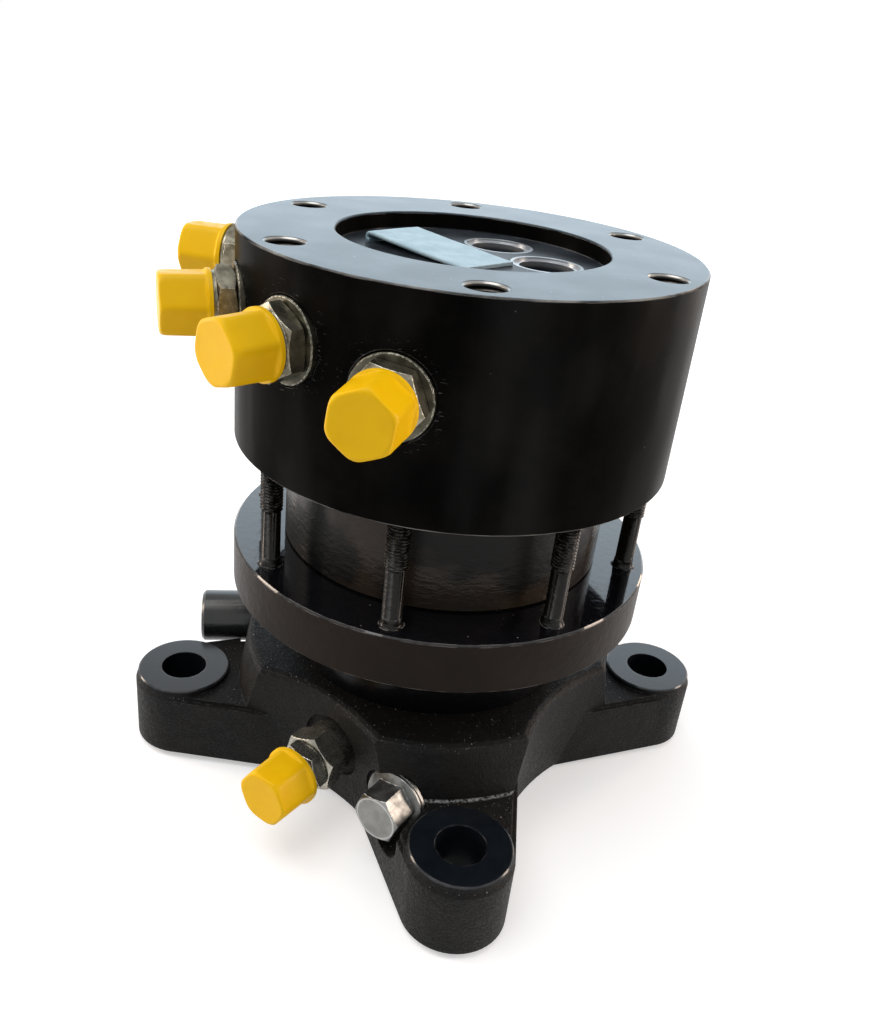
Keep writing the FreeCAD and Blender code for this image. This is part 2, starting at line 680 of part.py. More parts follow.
def lower_bearing():
    """Ball bearing that carries the turning stack on the shaft, low in the flange."""
    low = lower_bearing_low
    high = f"({lip_low} - face_clearance)"
    middle = f"(({low} + {high}) / 2)"
    ring("lower_bearing_inner_race", "lower_journal_radius + seat_clearance",
         "lower_journal_radius + lower_race_wall", low, high)
    ring("lower_bearing_outer_race",
         f"{lower_ball_place} + lower_ball_radius + rolling_clearance", lower_cup_radius, low, high)
    body = new_body("lower_bearing_balls")
    reach = f"({lower_ball_place} + lower_ball_radius)"
    sketch = new_sketch(body, "ball_section", "XZ_Plane")
    centre = FreeCAD.Vector(2, 2, 0)
    sketch.addGeometry(Part.ArcOfCircle(Part.Circle(centre, UP, 1), 0, math.pi), False)
    sketch.addGeometry(Part.LineSegment(FreeCAD.Vector(1, 2, 0), FreeCAD.Vector(3, 2, 0)), False)
    sketch.addConstraint(Sketcher.Constraint("Coincident", 0, 1, 1, 2))
    sketch.addConstraint(Sketcher.Constraint("Coincident", 0, 2, 1, 1))
    sketch.addConstraint(Sketcher.Constraint("PointOnObject", 0, 3, 1))
    sketch.addConstraint(Sketcher.Constraint("Horizontal", 1))
    fix_point(sketch, 1, 1, (f"{lower_ball_place} - lower_ball_radius", middle))
    index = sketch.addConstraint(Sketcher.Constraint("DistanceX", -1, 1, 1, 2, 1.0))
    sketch.renameConstraint(index, "ball_reach")
    bind(sketch, "Constraints.ball_reach", reach)
    sketch.addGeometry(Part.LineSegment(FreeCAD.Vector(0, 5, 0), FreeCAD.Vector(4, 5, 0)), True)
    fix_point(sketch, 2, 1, (f"{lower_ball_place} - lower_ball_radius", middle))
    fix_point(sketch, 2, 2, (reach, middle))
    ball = body.newObject("PartDesign::Revolution", "ball")
    ball.Profile = sketch
    ball.ReferenceAxis = (sketch, ["Axis0"])
    ball.Angle = 360
    patterned(body, "ball_row", [ball], "lower_ball_count")


def upper_bearing():
    """Roller bearing that steadies the top of the shaft in the head."""
    low = upper_bearing_low
    high = upper_bearing_top
    ring("upper_bearing_inner_race", "upper_journal_radius + seat_clearance",
         "upper_journal_radius + upper_race_wall", low, high)
    ring("upper_bearing_outer_race", f"{upper_cup_radius} - upper_race_wall", upper_cup_radius, low, high)
    body = new_body("upper_bearing_rollers")
    place = upper_roller_place
    roller = turned(body, "roller", [
        (place, f"{low} + small_edge"),
        (f"{place} + upper_roller_radius", f"{low} + small_edge"),
        (f"{place} + upper_roller_radius", f"{high} - small_edge"),
        (place, f"{high} - small_edge"),
    ], axis=((place, low), (place, high)))
    patterned(body, "roller_row", [roller], "upper_roller_count")


def spider():
    """Cast four-armed foot: a hub with hollowed sides between its arms, and a lug on each arm."""
    body = new_body("spider")
    turned(body, "hub", [
        ("0", "hub_ground_gap"),
        ("root_radius_low - small_edge", "hub_ground_gap"),
        ("root_radius_low", "hub_ground_gap + small_edge"),
        ("root_radius_low", "lug_pad_height"),
        ("root_radius_top", "hub_height - hub_edge"),
        ("root_radius_top - hub_edge / 3", "hub_height - hub_edge / 3"),
        ("root_radius_top - hub_edge", "hub_height"),
        ("0", "hub_height"),
    ])
    valley_axis = "(valley_wall_top + valley_radius)"
    low_radius = f"({valley_axis} - valley_wall_low)"
    valley = turned(body, "valley", [
        (valley_axis, "hub_ground_gap - tool_overrun"),
        (f"{valley_axis} - {low_radius}", "hub_ground_gap - tool_overrun"),
        ("valley_wall_top", "hub_height - hub_edge"),
        ("valley_wall_top - hub_edge / 3", "hub_height - hub_edge / 3"),
        ("valley_wall_top - hub_edge", "hub_height"),
        ("valley_wall_top - hub_edge", "hub_height + tool_overrun"),
        (valley_axis, "hub_height + tool_overrun"),
    ], axis=((valley_axis, "hub_ground_gap"), (valley_axis, "hub_height")), cut=True, turn="45")
    patterned(body, "valleys", [valley], "lug_count")
    arm_pad, arm_top = arm_features(body)
    lug = "(lug_circle / 2)"
    boss = turned(body, "lug_boss", [
        (lug, "0"),
        (f"{lug} + lug_end_radius - lug_foot_edge", "0"),
        (f"{lug} + lug_end_radius - lug_foot_edge / 4", "lug_foot_edge / 2"),
        (f"{lug} + lug_end_radius", "lug_foot_edge * 1.2"),
        (f"{lug} + lug_end_radius", "lug_pad_height - arm_edge"),
        (f"{lug} + lug_boss_radius", "lug_pad_height"),
        (f"{lug} + lug_boss_radius", "lug_pad_height + lug_boss_rise - lug_boss_edge"),
        (f"{lug} + lug_boss_radius - lug_boss_edge", "lug_pad_height + lug_boss_rise"),
        (lug, "lug_pad_height + lug_boss_rise"),
    ], axis=((lug, "0"), (lug, "lug_pad_height")))
    hole = drilled(body, "lug_hole", lug, "-tool_overrun", "lug_pad_height + lug_boss_rise + tool_overrun",
                   "lug_hole_radius")
    patterned(body, "arms", [arm_pad, arm_top, boss, hole], "lug_count")
    turned(body, "shaft_pocket", [
        ("0", "-tool_overrun"),
        ("foot_recess_radius", "-tool_overrun"),
        ("foot_recess_radius", "foot_recess_depth"),
        ("foot_centre_hole", "foot_recess_depth"),
        ("foot_centre_hole", "foot_web_height"),
        ("shaft_foot_radius + seat_clearance", "foot_web_height"),
        ("shaft_foot_radius + seat_clearance", "hub_height + tool_overrun"),
        ("0", "hub_height + tool_overrun"),
    ], cut=True)
    bolt_hole = drilled(body, "foot_bolt_hole", "(foot_bolt_circle / 2)", "foot_recess_depth - tool_overrun",
                        "foot_web_height + tool_overrun", "foot_bolt_hole")
    patterned(body, "foot_bolt_holes", [bolt_hole], "foot_bolt_count")
    fitting_wells(body)
    return body


def arm_features(body):
    """First arm: straight sides that open towards the hub, and a bevelled upper edge."""
    return (arm_layer(body, "arm_pad", "arm_ground_gap", "lug_pad_height - arm_edge", "0"),
            arm_layer(body, "arm_top", "lug_pad_height - arm_edge", "lug_pad_height", "arm_edge"))


def arm_layer(body, name, low, high, inset):
    """One layer of the arm; its round end keeps the lug's centre, and the inset draws its outline in."""
    arm = new_sketch(body, name + "_outline", "XY_Plane", offset=low)
    lug_x = size("lug_circle") / 2
    end_radius = size("lug_end_radius")
    root_x = size("arm_root_distance")
    root_y = size("arm_root_half_width")
    slope = math.atan2(root_y - end_radius, lug_x - root_x)
    tangent = math.pi / 2 - slope
    end_circle = Part.Circle(FreeCAD.Vector(lug_x, 0, 0), UP, end_radius)
    top = FreeCAD.Vector(lug_x + end_radius * math.cos(tangent), end_radius * math.sin(tangent), 0)
    foot = FreeCAD.Vector(top.x, -top.y, 0)
    root_high = FreeCAD.Vector(root_x, root_y, 0)
    root_low = FreeCAD.Vector(root_x, -root_y, 0)
    arm.addGeometry(Part.ArcOfCircle(end_circle, -tangent, tangent), False)
    arm.addGeometry(Part.LineSegment(top, root_high), False)
    arm.addGeometry(Part.LineSegment(root_high, root_low), False)
    arm.addGeometry(Part.LineSegment(root_low, foot), False)
    arm.addConstraint(Sketcher.Constraint("Tangent", 0, 2, 1, 1))
    arm.addConstraint(Sketcher.Constraint("Tangent", 3, 2, 0, 1))
    arm.addConstraint(Sketcher.Constraint("Coincident", 1, 2, 2, 1))
    arm.addConstraint(Sketcher.Constraint("Coincident", 2, 2, 3, 1))
    fix_point(arm, 0, 3, ("lug_circle / 2", "0"))
    fix_point(arm, 2, 1, ("arm_root_distance", f"arm_root_half_width - {inset}"))
    fix_point(arm, 2, 2, ("arm_root_distance", f"-(arm_root_half_width - {inset})"))
    index = arm.addConstraint(Sketcher.Constraint("Radius", 0, end_radius))
    arm.renameConstraint(index, "lug_end")
    bind(arm, "Constraints.lug_end", f"lug_end_radius - {inset} - seat_clearance")
    pad = body.newObject("PartDesign::Pad", name)
    pad.Profile = arm
    bind(pad, "Length", f"({high}) - ({low})")
    return pad


def fitting_wells(body):
    """Spot-faced wells and tapped ports in the foot's wall, one for each fitting."""
    for name in ("foot_port", "plug", "stub"):
        sketch = new_sketch(body, f"{name}_well_section", "XZ_Plane", turn=f"{name}_turn")
        bind(sketch, "AttachmentOffset.Base.x", f"-{name}_side * sin({name}_turn)")
        bind(sketch, "AttachmentOffset.Base.z", f"-{name}_side * cos({name}_turn)")
        middle = f"{name}_height"
        hole = "(stud_radius + thread_clearance)"
        outside = f"({name}_seat + well_reach)"
        draw_outline(sketch, [
            (f"{name}_seat - foot_stud_hole_depth", middle),
            (f"{name}_seat - foot_stud_hole_depth", f"{middle} + {hole}"),
            (f"{name}_seat", f"{middle} + {hole}"),
            (f"{name}_seat", f"{middle} + {name}_well_radius"),
            (outside, f"{middle} + {name}_well_radius"),
            (outside, middle),
        ], axis=((f"{name}_seat", middle), (outside, middle)))
        well = body.newObject("PartDesign::Groove", f"{name}_well")
        well.Profile = sketch
        well.ReferenceAxis = (sketch, ["Axis0"])
        well.Angle = 360


def rotor_shaft():
    """Stepped shaft that is bolted down in the foot and carries oil up its middle."""
    body = new_body("rotor_shaft")
    foot = "(foot_web_height + seat_clearance)"
    neck_top = "(hub_height + neck_height)"
    turned(body, "shaft_blank", [
        ("0", foot),
        ("shaft_foot_radius", foot),
        ("shaft_foot_radius", "hub_height + seat_clearance"),
        ("neck_radius", "hub_height + seat_clearance"),
        ("neck_radius", f"{neck_top} - neck_edge"),
        ("neck_radius - neck_edge", neck_top),
        ("seal_journal_radius", neck_top),
        ("seal_journal_radius", f"{lower_bearing_low} - seat_clearance"),
        ("lower_journal_radius", f"{lower_bearing_low} - seat_clearance"),
        ("lower_journal_radius", f"{flange_top} + face_clearance / 2"),
        ("rotor_seat_radius", f"{flange_top} + face_clearance / 2"),
        ("rotor_seat_radius", head_low),
        ("upper_journal_radius", head_low),
        ("upper_journal_radius", f"{cavity_top} - tool_overrun"),
        ("swivel_radius - running_clearance", f"{cavity_top} - tool_overrun"),
        ("swivel_radius - running_clearance", f"{swivel_top} - shaft_end_gap"),
        ("0", f"{swivel_top} - shaft_end_gap"),
    ])
    for step in range(int(size("swivel_seal_count")) - 1):
        low = f"({cavity_top} + swivel_start + swivel_pitch * {step + 0.5} - oil_groove_width / 2)"
        turned(body, f"oil_groove_{step + 1}", [
            ("swivel_radius + tool_overrun", low),
            ("swivel_radius + tool_overrun", f"{low} + oil_groove_width"),
            ("swivel_radius - oil_groove_depth", f"{low} + oil_groove_width"),
            ("swivel_radius - oil_groove_depth", low),
        ], cut=True)
    thread = drilled(body, "foot_thread", "(foot_bolt_circle / 2)", foot,
                     f"{foot} + foot_bolt_reach + 2 * tool_overrun", "(foot_bolt_radius + thread_clearance)")
    patterned(body, "foot_threads", [thread], "foot_bolt_count")
    for step in range(int(size("swivel_seal_count")) - 1):
        groove = f"({cavity_top} + swivel_start + swivel_pitch * {step + 0.5})"
        turn = f"{45 + 90 * step}"
        drilled(body, f"shaft_gallery_{step + 1}", "shaft_gallery_place",
                "(hub_height - shaft_gallery_radius)",
                groove, "shaft_gallery_radius", turn=turn)
        gallery(body, f"shaft_cross_drilling_{step + 1}", turn, ("shaft_gallery_place", groove),
                ("swivel_radius", groove), "(oil_groove_width / 2 - face_clearance)")
    key_slot = new_sketch(body, "key_slot_outline", "XY_Plane",
                          offset=f"({flange_top} + {head_low} - key_length) / 2 - seat_clearance")
    side = "(key_width / 2 + seat_clearance)"
    inner = "rotor_seat_radius - key_height / 2"
    outer = "rotor_seat_radius + tool_overrun"
    draw_outline(key_slot, [(inner, f"-{side}"), (outer, f"-{side}"), (outer, side), (inner, side)])
    slot = body.newObject("PartDesign::Pocket", "key_slot")
    slot.Profile = key_slot
    slot.Reversed = True
    bind(slot, "Length", "key_length + 2 * seat_clearance")
    patterned(body, "key_slots", [slot], "key_count")
    return body


def rotor_keys():
    """Parallel keys that lock the vane rotor to the shaft."""
    body = new_body("rotor_keys")
    low = f"({flange_top} + {head_low} - key_length) / 2"
    outline = new_sketch(body, "key_outline", "XY_Plane", offset=low)
    inner = "(rotor_seat_radius - key_height / 2 + seat_clearance)"
    outer = "(rotor_seat_radius + key_height / 2 - seat_clearance)"
    draw_outline(outline, [(inner, "-key_width / 2"), (outer, "-key_width / 2"),
                           (outer, "key_width / 2"), (inner, "key_width / 2")])
    key = body.newObject("PartDesign::Pad", "rotor_key")
    key.Profile = outline
    bind(key, "Length", "key_length")
    patterned(body, "key_pair", [key], "key_count")
    return body


def slot_cut(body, name, inner, outer, width, turn="0"):
    """Straight slot over the whole height of the rotor."""
    sketch = new_sketch(body, name + "_outline", "XY_Plane", offset=f"{flange_top} - tool_overrun")
    sketch.AttachmentOffset = FreeCAD.Placement(sketch.AttachmentOffset.Base, FreeCAD.Rotation(UP, 1))
    bind(sketch, "AttachmentOffset.Rotation.Angle", turn)
    draw_outline(sketch, [(inner, f"-({width}) / 2"), (outer, f"-({width}) / 2"),
                          (outer, f"({width}) / 2"), (inner, f"({width}) / 2")])
    pocket = body.newObject("PartDesign::Pocket", name)
    pocket.Profile = sketch
    pocket.Reversed = True
    bind(pocket, "Length", "stator_height + 2 * tool_overrun")
    return pocket


def vane_rotor():
    """Slotted steel rotor that is keyed to the shaft and pushed round by the vanes."""
    body = new_body("vane_rotor")
    low = f"({flange_top} + face_clearance)"
    high = f"({head_low} - face_clearance)"
    turned(body, "rotor_blank", [
        ("rotor_seat_radius + seat_clearance", low),
        ("rotor_radius", low),
        ("rotor_radius", high),
        ("rotor_seat_radius + seat_clearance", high),
    ])
    slot = slot_cut(body, "vane_slot", "rotor_radius - vane_slot_depth", "rotor_radius + tool_overrun",
                    "vane_thickness + 2 * running_clearance", turn="180 / vane_count")
    patterned(body, "vane_slots", [slot], "vane_count")
    key_way = slot_cut(body, "key_way", "rotor_seat_radius - tool_overrun",
                       "rotor_seat_radius + key_height / 2", "key_width + 2 * seat_clearance")
    patterned(body, "key_ways", [key_way], "key_count")
    return body


def vanes():
    """Flat vanes, drawn in, with rounded tips; oil and leaf springs press them on the cam track."""
    body = new_body("vanes", turn="180 / vane_count")
    outline = new_sketch(body, "vane_outline", "XY_Plane", offset=f"{flange_top} + 1.5 * face_clearance")
    inner = "(rotor_radius - vane_depth)"
    tip = "rotor_radius"
    half = "vane_thickness / 2"
    draw_outline(outline, [
        (inner, f"-{half}"), (f"{tip} - vane_tip_round", f"-{half}"), (tip, f"-{half} + vane_tip_round"),
        (tip, f"{half} - vane_tip_round"), (f"{tip} - vane_tip_round", half), (inner, half),
    ])
    vane = body.newObject("PartDesign::Pad", "vane")
    vane.Profile = outline
    bind(vane, "Length", "stator_height - 3 * face_clearance")
    patterned(body, "vane_row", [vane], "vane_count")
    return body


def vane_springs():
    """Bowed leaf springs in the bottoms of the vane slots."""
    body = new_body("vane_springs", turn="180 / vane_count")
    middle = f"(({flange_top} + {head_low}) / 2)"
    bottom = "(rotor_radius - vane_slot_depth + seat_clearance)"
    top = "(rotor_radius - vane_depth - seat_clearance)"
    outline = new_sketch(body, "leaf_outline", "XZ_Plane", offset="-vane_thickness / 4")
    draw_outline(outline, [
        (bottom, f"{middle} - leaf_half_length"),
        (f"{bottom} + leaf_thickness", f"{middle} - leaf_half_length"),
        (top, f"{middle} - leaf_half_length / 3"),
        (top, f"{middle} + leaf_half_length / 3"),
        (f"{bottom} + leaf_thickness", f"{middle} + leaf_half_length"),
        (bottom, f"{middle} + leaf_half_length"),
        (f"{top} - leaf_thickness", f"{middle} + leaf_half_length / 3"),
        (f"{top} - leaf_thickness", f"{middle} - leaf_half_length / 3"),
    ])
    leaf = body.newObject("PartDesign::Pad", "leaf")
    leaf.Profile = outline
    bind(leaf, "Length", "vane_thickness / 2")
    patterned(body, "leaf_row", [leaf], "vane_count")
    return body


def shaft_nut():
    """Slotted round nut that holds the roller bearing and the rotor down on the shaft."""
    body = new_body("shaft_nut")
    low = f"({upper_bearing_top} + nut_lift)"
    turned(body, "nut_ring", [
        ("upper_journal_radius + thread_clearance", low),
        ("nut_radius - small_edge", low),
        ("nut_radius", f"{low} + small_edge"),
        ("nut_radius", f"{low} + nut_height - small_edge"),
        ("nut_radius - small_edge", f"{low} + nut_height"),
        ("upper_journal_radius + thread_clearance", f"{low} + nut_height"),
    ])
    outline = new_sketch(body, "nut_slot_outline", "XY_Plane", offset=f"{low} - tool_overrun")
    side = "nut_slot_width / 2"
    inner = "nut_radius - nut_slot_depth"
    outer = "nut_radius + tool_overrun"
    draw_outline(outline, [(inner, f"-{side}"), (outer, f"-{side}"), (outer, side), (inner, side)])
    slot = body.newObject("PartDesign::Pocket", "nut_slot")
    slot.Profile = outline
    slot.Reversed = True
    bind(slot, "Length", "nut_height + 2 * tool_overrun")
    patterned(body, "nut_slots", [slot], "nut_slot_count")
    return body


def foot_bolts():
    """Socket-head screws that hold the shaft down in the foot, from below."""
    body = new_body("shaft_bolts")
    place = "(foot_bolt_circle / 2)"
    low = "(foot_recess_depth - foot_bolt_head_height)"
    top = "(foot_web_height + foot_bolt_reach)"
    bolt = turned(body, "shaft_bolt", [
        (place, f"{low} + foot_bolt_head_height / 2"),
        (f"{place} + foot_bolt_radius - small_edge", f"{low} + foot_bolt_head_height / 2"),
        (f"{place} + foot_bolt_radius - small_edge", low),
        (f"{place} + foot_bolt_head_radius", low),
        (f"{place} + foot_bolt_head_radius", "foot_recess_depth"),
        (f"{place} + foot_bolt_radius", "foot_recess_depth"),
        (f"{place} + foot_bolt_radius", f"{top} - small_edge"),
        (f"{place} + foot_bolt_radius - small_edge", top),
        (place, top),
    ], axis=((place, low), (place, top)))
    patterned(body, "shaft_bolt_ring", [bolt], "foot_bolt_count")
    return body


def fitting_bore(body, name, stud_end, nose_end):
    """Oil bore through a fitting, opened to a sealing cone in its nose."""
    turned_along(body, name + "_bore", [
        (f"{stud_end} - tool_overrun", "0"),
        (f"{stud_end} - tool_overrun", "nose_bore_radius"),
        (f"{nose_end} - nose_cone_depth", "nose_bore_radius"),
        (nose_end, "nose_cone_radius"),
        (f"{nose_end} + tool_overrun", "nose_cone_radius"),
        (f"{nose_end} + tool_overrun", "0"),
    ], cut=True)


def coupling(name, turn, height, twist):
    """Zinc-plated coupling: stud in the head, hexagon, and the threaded nose under the cap."""
    body = new_body(name, turn, height)
    hex_start = f"({coupling_seat} + washer_thickness)"
    hex_end = f"({hex_start} + coupling_hex_length)"
    stud_end = f"({coupling_seat} - stud_length)"
    nose_end = f"({hex_end} + coupling_collar_length + nose_length)"
    hex_block(body, name + "_hex", "coupling_flats", hex_start, "coupling_hex_length", twist)
    hex_bevel(body, name + "_bevel_in", "coupling_flats", hex_start, 1)
    hex_bevel(body, name + "_bevel_out", "coupling_flats", hex_end, -1)
    turned_along(body, name + "_stud", [
        (stud_end, "0"),
        (stud_end, "stud_radius - small_edge"),
        (f"{stud_end} + small_edge", "stud_radius"),
        (f"{hex_start} + tool_overrun", "stud_radius"),
        (f"{hex_start} + tool_overrun", "0"),
    ])
    turned_along(body, name + "_nose", [
        (f"{hex_end} - tool_overrun", "0"),
        (f"{hex_end} - tool_overrun", "coupling_collar_radius"),
        (f"{hex_end} + coupling_collar_length", "coupling_collar_radius"),
        (f"{hex_end} + coupling_collar_length", "nose_radius"),
        (f"{nose_end} - small_edge", "nose_radius"),
        (nose_end, "nose_radius - small_edge"),
        (nose_end, "0"),
    ])
    fitting_bore(body, name, stud_end, nose_end)
    return body


def coupling_washer(name, turn, height):
    """Flat sealing washer under a coupling's hexagon."""
    body = new_body(name, turn, height)
    turned_along(body, name + "_disc", [
        (coupling_seat, "stud_radius + seat_clearance"),
        (coupling_seat, "washer_radius"),
        (f"{coupling_seat} + washer_thickness - washer_edge", "washer_radius"),
        (f"{coupling_seat} + washer_thickness", "washer_radius - washer_edge"),
        (f"{coupling_seat} + washer_thickness", "stud_radius + seat_clearance"),
    ])
    return body


def cap(name, turn, height, start, twist):
    """Yellow plastic cap: a thin rim, a six-sided barrel and a bevelled round end, pushed on the nose."""
    body = new_body(name, turn, height)
    inner_start = f"({start} + face_clearance)"
    rim_end = f"({inner_start} + cap_rim_length)"
    barrel_end = f"({rim_end} + cap_barrel_length)"
    hex_block(body, name + "_barrel", "cap_flats", inner_start, "cap_rim_length + cap_barrel_length", twist)
    turned_along(body, name + "_outside", [
        (barrel_end, "cap_corner_radius - cap_end_edge"),
        (barrel_end, "cap_flats"),
        (inner_start, "cap_flats"),
        (inner_start, "cap_corner_radius"),
        (f"{barrel_end} - cap_end_edge", "cap_corner_radius"),
    ], cut=True)
    turned_along(body, name + "_end", [
        (barrel_end, "0"),
        (barrel_end, "cap_corner_radius - cap_end_edge"),
        (f"{barrel_end} - cap_end_edge", "cap_corner_radius"),
        (f"{barrel_end} - 2 * cap_end_edge", "cap_flats / 2"),
        (f"{barrel_end} - 2 * cap_end_edge", "0"),
    ])
    turned_along(body, name + "_rim", [
        (inner_start, "nose_radius + cap_wall_gap"),
        (inner_start, "cap_rim_radius"),
        (rim_end, "cap_rim_radius"),
        (f"{rim_end} + cap_end_edge", "cap_flats / 2"),
        (f"{rim_end} + cap_end_edge", "nose_radius + cap_wall_gap"),
    ])
    turned_along(body, name + "_hollow", [
        (f"{inner_start} - tool_overrun", "0"),
        (f"{inner_start} - tool_overrun", "nose_radius + thread_clearance"),
        (f"{start} + nose_length + cap_wall_gap", "nose_radius + thread_clearance"),
        (f"{start} + nose_length + cap_wall_gap", "0"),
    ], cut=True)
    return body


def place_aside(body, name):
    """Move a fitting sideways, at right angles to the way it points."""
    bind(body, "Placement.Base.x", f"-{name}_side * sin({name}_turn)")
    bind(body, "Placement.Base.y", f"{name}_side * cos({name}_turn)")
    return body


def foot_coupling():
    """Dark nickel coupling on the foot, with its union nut and the small ferrule under the cap."""
    turn, height = "foot_port_turn", "foot_port_height"
    body = place_aside(new_body("foot_coupling", turn, height), "foot_port")
    nose_end = f"({foot_cap_start} + nose_length)"
    foot_stud_end = "(foot_port_seat - foot_stud_length)"
    hex_end = f"({foot_hex_start} + foot_hex_length)"
    hex_block(body, "foot_coupling_hex", "foot_hex_flats", foot_hex_start,
              "foot_hex_length", "foot_hex_twist")
    hex_bevel(body, "foot_coupling_bevel_in", "foot_hex_flats", foot_hex_start, 1)
    hex_bevel(body, "foot_coupling_bevel_out", "foot_hex_flats", hex_end, -1)
    turned_along(body, "foot_coupling_stem", [
        (foot_stud_end, "0"),
        (foot_stud_end, "stud_radius - small_edge"),
        (f"{foot_stud_end} + small_edge", "stud_radius"),
        ("foot_port_seat + seat_clearance", "stud_radius"),
        ("foot_port_seat + seat_clearance", "foot_collar_radius"),
        (f"{foot_hex_start} + tool_overrun", "foot_collar_radius"),
        (f"{foot_hex_start} + tool_overrun", "nose_radius"),
        (f"{nose_end} - small_edge", "nose_radius"),
        (nose_end, "nose_radius - small_edge"),
        (nose_end, "0"),
    ])
    fitting_bore(body, "foot_coupling", foot_stud_end, nose_end)
    nut = place_aside(new_body("union_nut", turn, height), "foot_port")
    hex_block(nut, "union_nut_hex", "union_nut_flats", union_nut_start, "union_nut_length", "union_nut_twist")
    hex_bevel(nut, "union_nut_bevel_in", "union_nut_flats", union_nut_start, 1)
    hex_bevel(nut, "union_nut_bevel_out", "union_nut_flats", ferrule_start, -1)
    turned_along(nut, "union_nut_thread", [
        (f"{union_nut_start} - tool_overrun", "0"),
        (f"{union_nut_start} - tool_overrun", "nose_radius + thread_clearance"),
        (f"{ferrule_start} + tool_overrun", "nose_radius + thread_clearance"),
        (f"{ferrule_start} + tool_overrun", "0"),
    ], cut=True)
    ferrule = place_aside(new_body("foot_ferrule", turn, height), "foot_port")
    turned_along(ferrule, "foot_ferrule_ring", [
        (f"{ferrule_start} + seat_clearance", "nose_radius + seat_clearance"),
        (f"{ferrule_start} + seat_clearance", "ferrule_radius"),
        (foot_cap_start, "ferrule_radius - small_edge / 2"),
        (foot_cap_start, "nose_radius + seat_clearance"),
    ])
    place_aside(cap("foot_cap", turn, height, foot_cap_start, "foot_cap_twist"), "foot_port")


def foot_plug():
    """Zinc-plated hexagon plug with a thin flange, on a copper-faced washer."""
    turn, height = "plug_turn", "plug_height"
    washer = place_aside(new_body("plug_washer", turn, height), "plug")
    turned_along(washer, "plug_washer_disc", [
        ("plug_seat", "stud_radius + seat_clearance"),
        ("plug_seat", "plug_washer_radius"),
        ("plug_seat + plug_washer_thickness", "plug_washer_radius"),
        ("plug_seat + plug_washer_thickness", "stud_radius + seat_clearance"),
    ])
    body = place_aside(new_body("port_plug", turn, height), "plug")
    flange_start = "(plug_seat + plug_washer_thickness)"
    hex_start = f"({flange_start} + plug_flange_length)"
    hex_end = f"({hex_start} + plug_hex_length)"
    hex_block(body, "plug_hex", "plug_flats", hex_start, "plug_hex_length", "plug_twist")
    hex_bevel(body, "plug_bevel", "plug_flats", hex_end, -1)
    turned_along(body, "plug_stem", [
        ("plug_seat - foot_stud_length", "0"),
        ("plug_seat - foot_stud_length", "stud_radius - small_edge"),
        ("plug_seat - foot_stud_length + small_edge", "stud_radius"),
        (flange_start, "stud_radius"),
        (flange_start, "plug_flange_radius"),
        (f"{hex_start} - small_edge / 3", "plug_flange_radius"),
        (f"{hex_start} + small_edge", "plug_flats / 2"),
        (f"{hex_start} + small_edge", "0"),
    ])


def rear_stub():
    """Round dark steel port fitting that stands out beside the rear of the left arm."""
    turn, height = "stub_turn", "stub_height"
    body = place_aside(new_body("rear_port_fitting", turn, height), "stub")
    turned_along(body, "stub_barrel", [
        ("stub_seat - foot_stud_length", "0"),
        ("stub_seat - foot_stud_length", "stud_radius - small_edge"),
        ("stub_seat - foot_stud_length + small_edge", "stud_radius"),
        ("stub_seat + seat_clearance", "stud_radius"),
        ("stub_seat + seat_clearance", "stub_collar_radius"),
        ("stub_seat + stub_collar_length", "stub_collar_radius"),
        ("stub_seat + stub_collar_length", "stub_radius"),
        ("stub_end - stub_edge", "stub_radius"),
        ("stub_end", "stub_radius - stub_edge"),
        ("stub_end", "0"),
    ])


def recess_strip():
    """Loose bright sheet strip that lies in the head's recess, one end bent down to a short leg."""
    body = new_body("recess_strip", turn="strip_turn", height=recess_floor)
    bind(body, "Placement.Base.x", "strip_centre_x")
    bind(body, "Placement.Base.y", "strip_centre_y")
    outline = new_sketch(body, "strip_section", "XZ_Plane", offset="-strip_width / 2")
    half = "strip_length / 2"
    draw_outline(outline, [
        (f"-{half}", "face_clearance"),
        (f"-{half} + strip_thickness", "face_clearance"),
        (f"-{half} + strip_thickness", "strip_leg"),
        (f"{half} - strip_flat_end", "face_clearance"),
        (half, "face_clearance"),
        (half, "face_clearance + strip_thickness"),
        (f"{half} - strip_flat_end", "face_clearance + strip_thickness"),
        (f"-{half} + strip_thickness", "strip_leg + strip_thickness"),
        (f"-{half}", "strip_leg + strip_thickness - small_edge / 2"),
    ])
    pad = body.newObject("PartDesign::Pad", "strip")
    pad.Profile = outline
    bind(pad, "Length", "strip_width")


distributor_head()
swivel_seals()
stator_ring()
stator_o_rings()
lower_flange()
clamp_bolts()
dowel_pins()
shaft_seals()
lower_bearing()
upper_bearing()
spider()
rotor_shaft()
rotor_keys()
vane_rotor()
vanes()
vane_springs()
shaft_nut()
foot_bolts()
for number in range(1, 5):
    place = (f"coupling_{number}_turn", f"coupling_{number}_height")
    coupling(f"coupling_{number}", *place, f"coupling_{number}_twist")
    coupling_washer(f"coupling_washer_{number}", *place)
    cap(f"cap_{number}", *place, cap_start, f"cap_{number}_twist")
foot_coupling()
foot_plug()
rear_stub()
recess_strip()
doc.recompute()

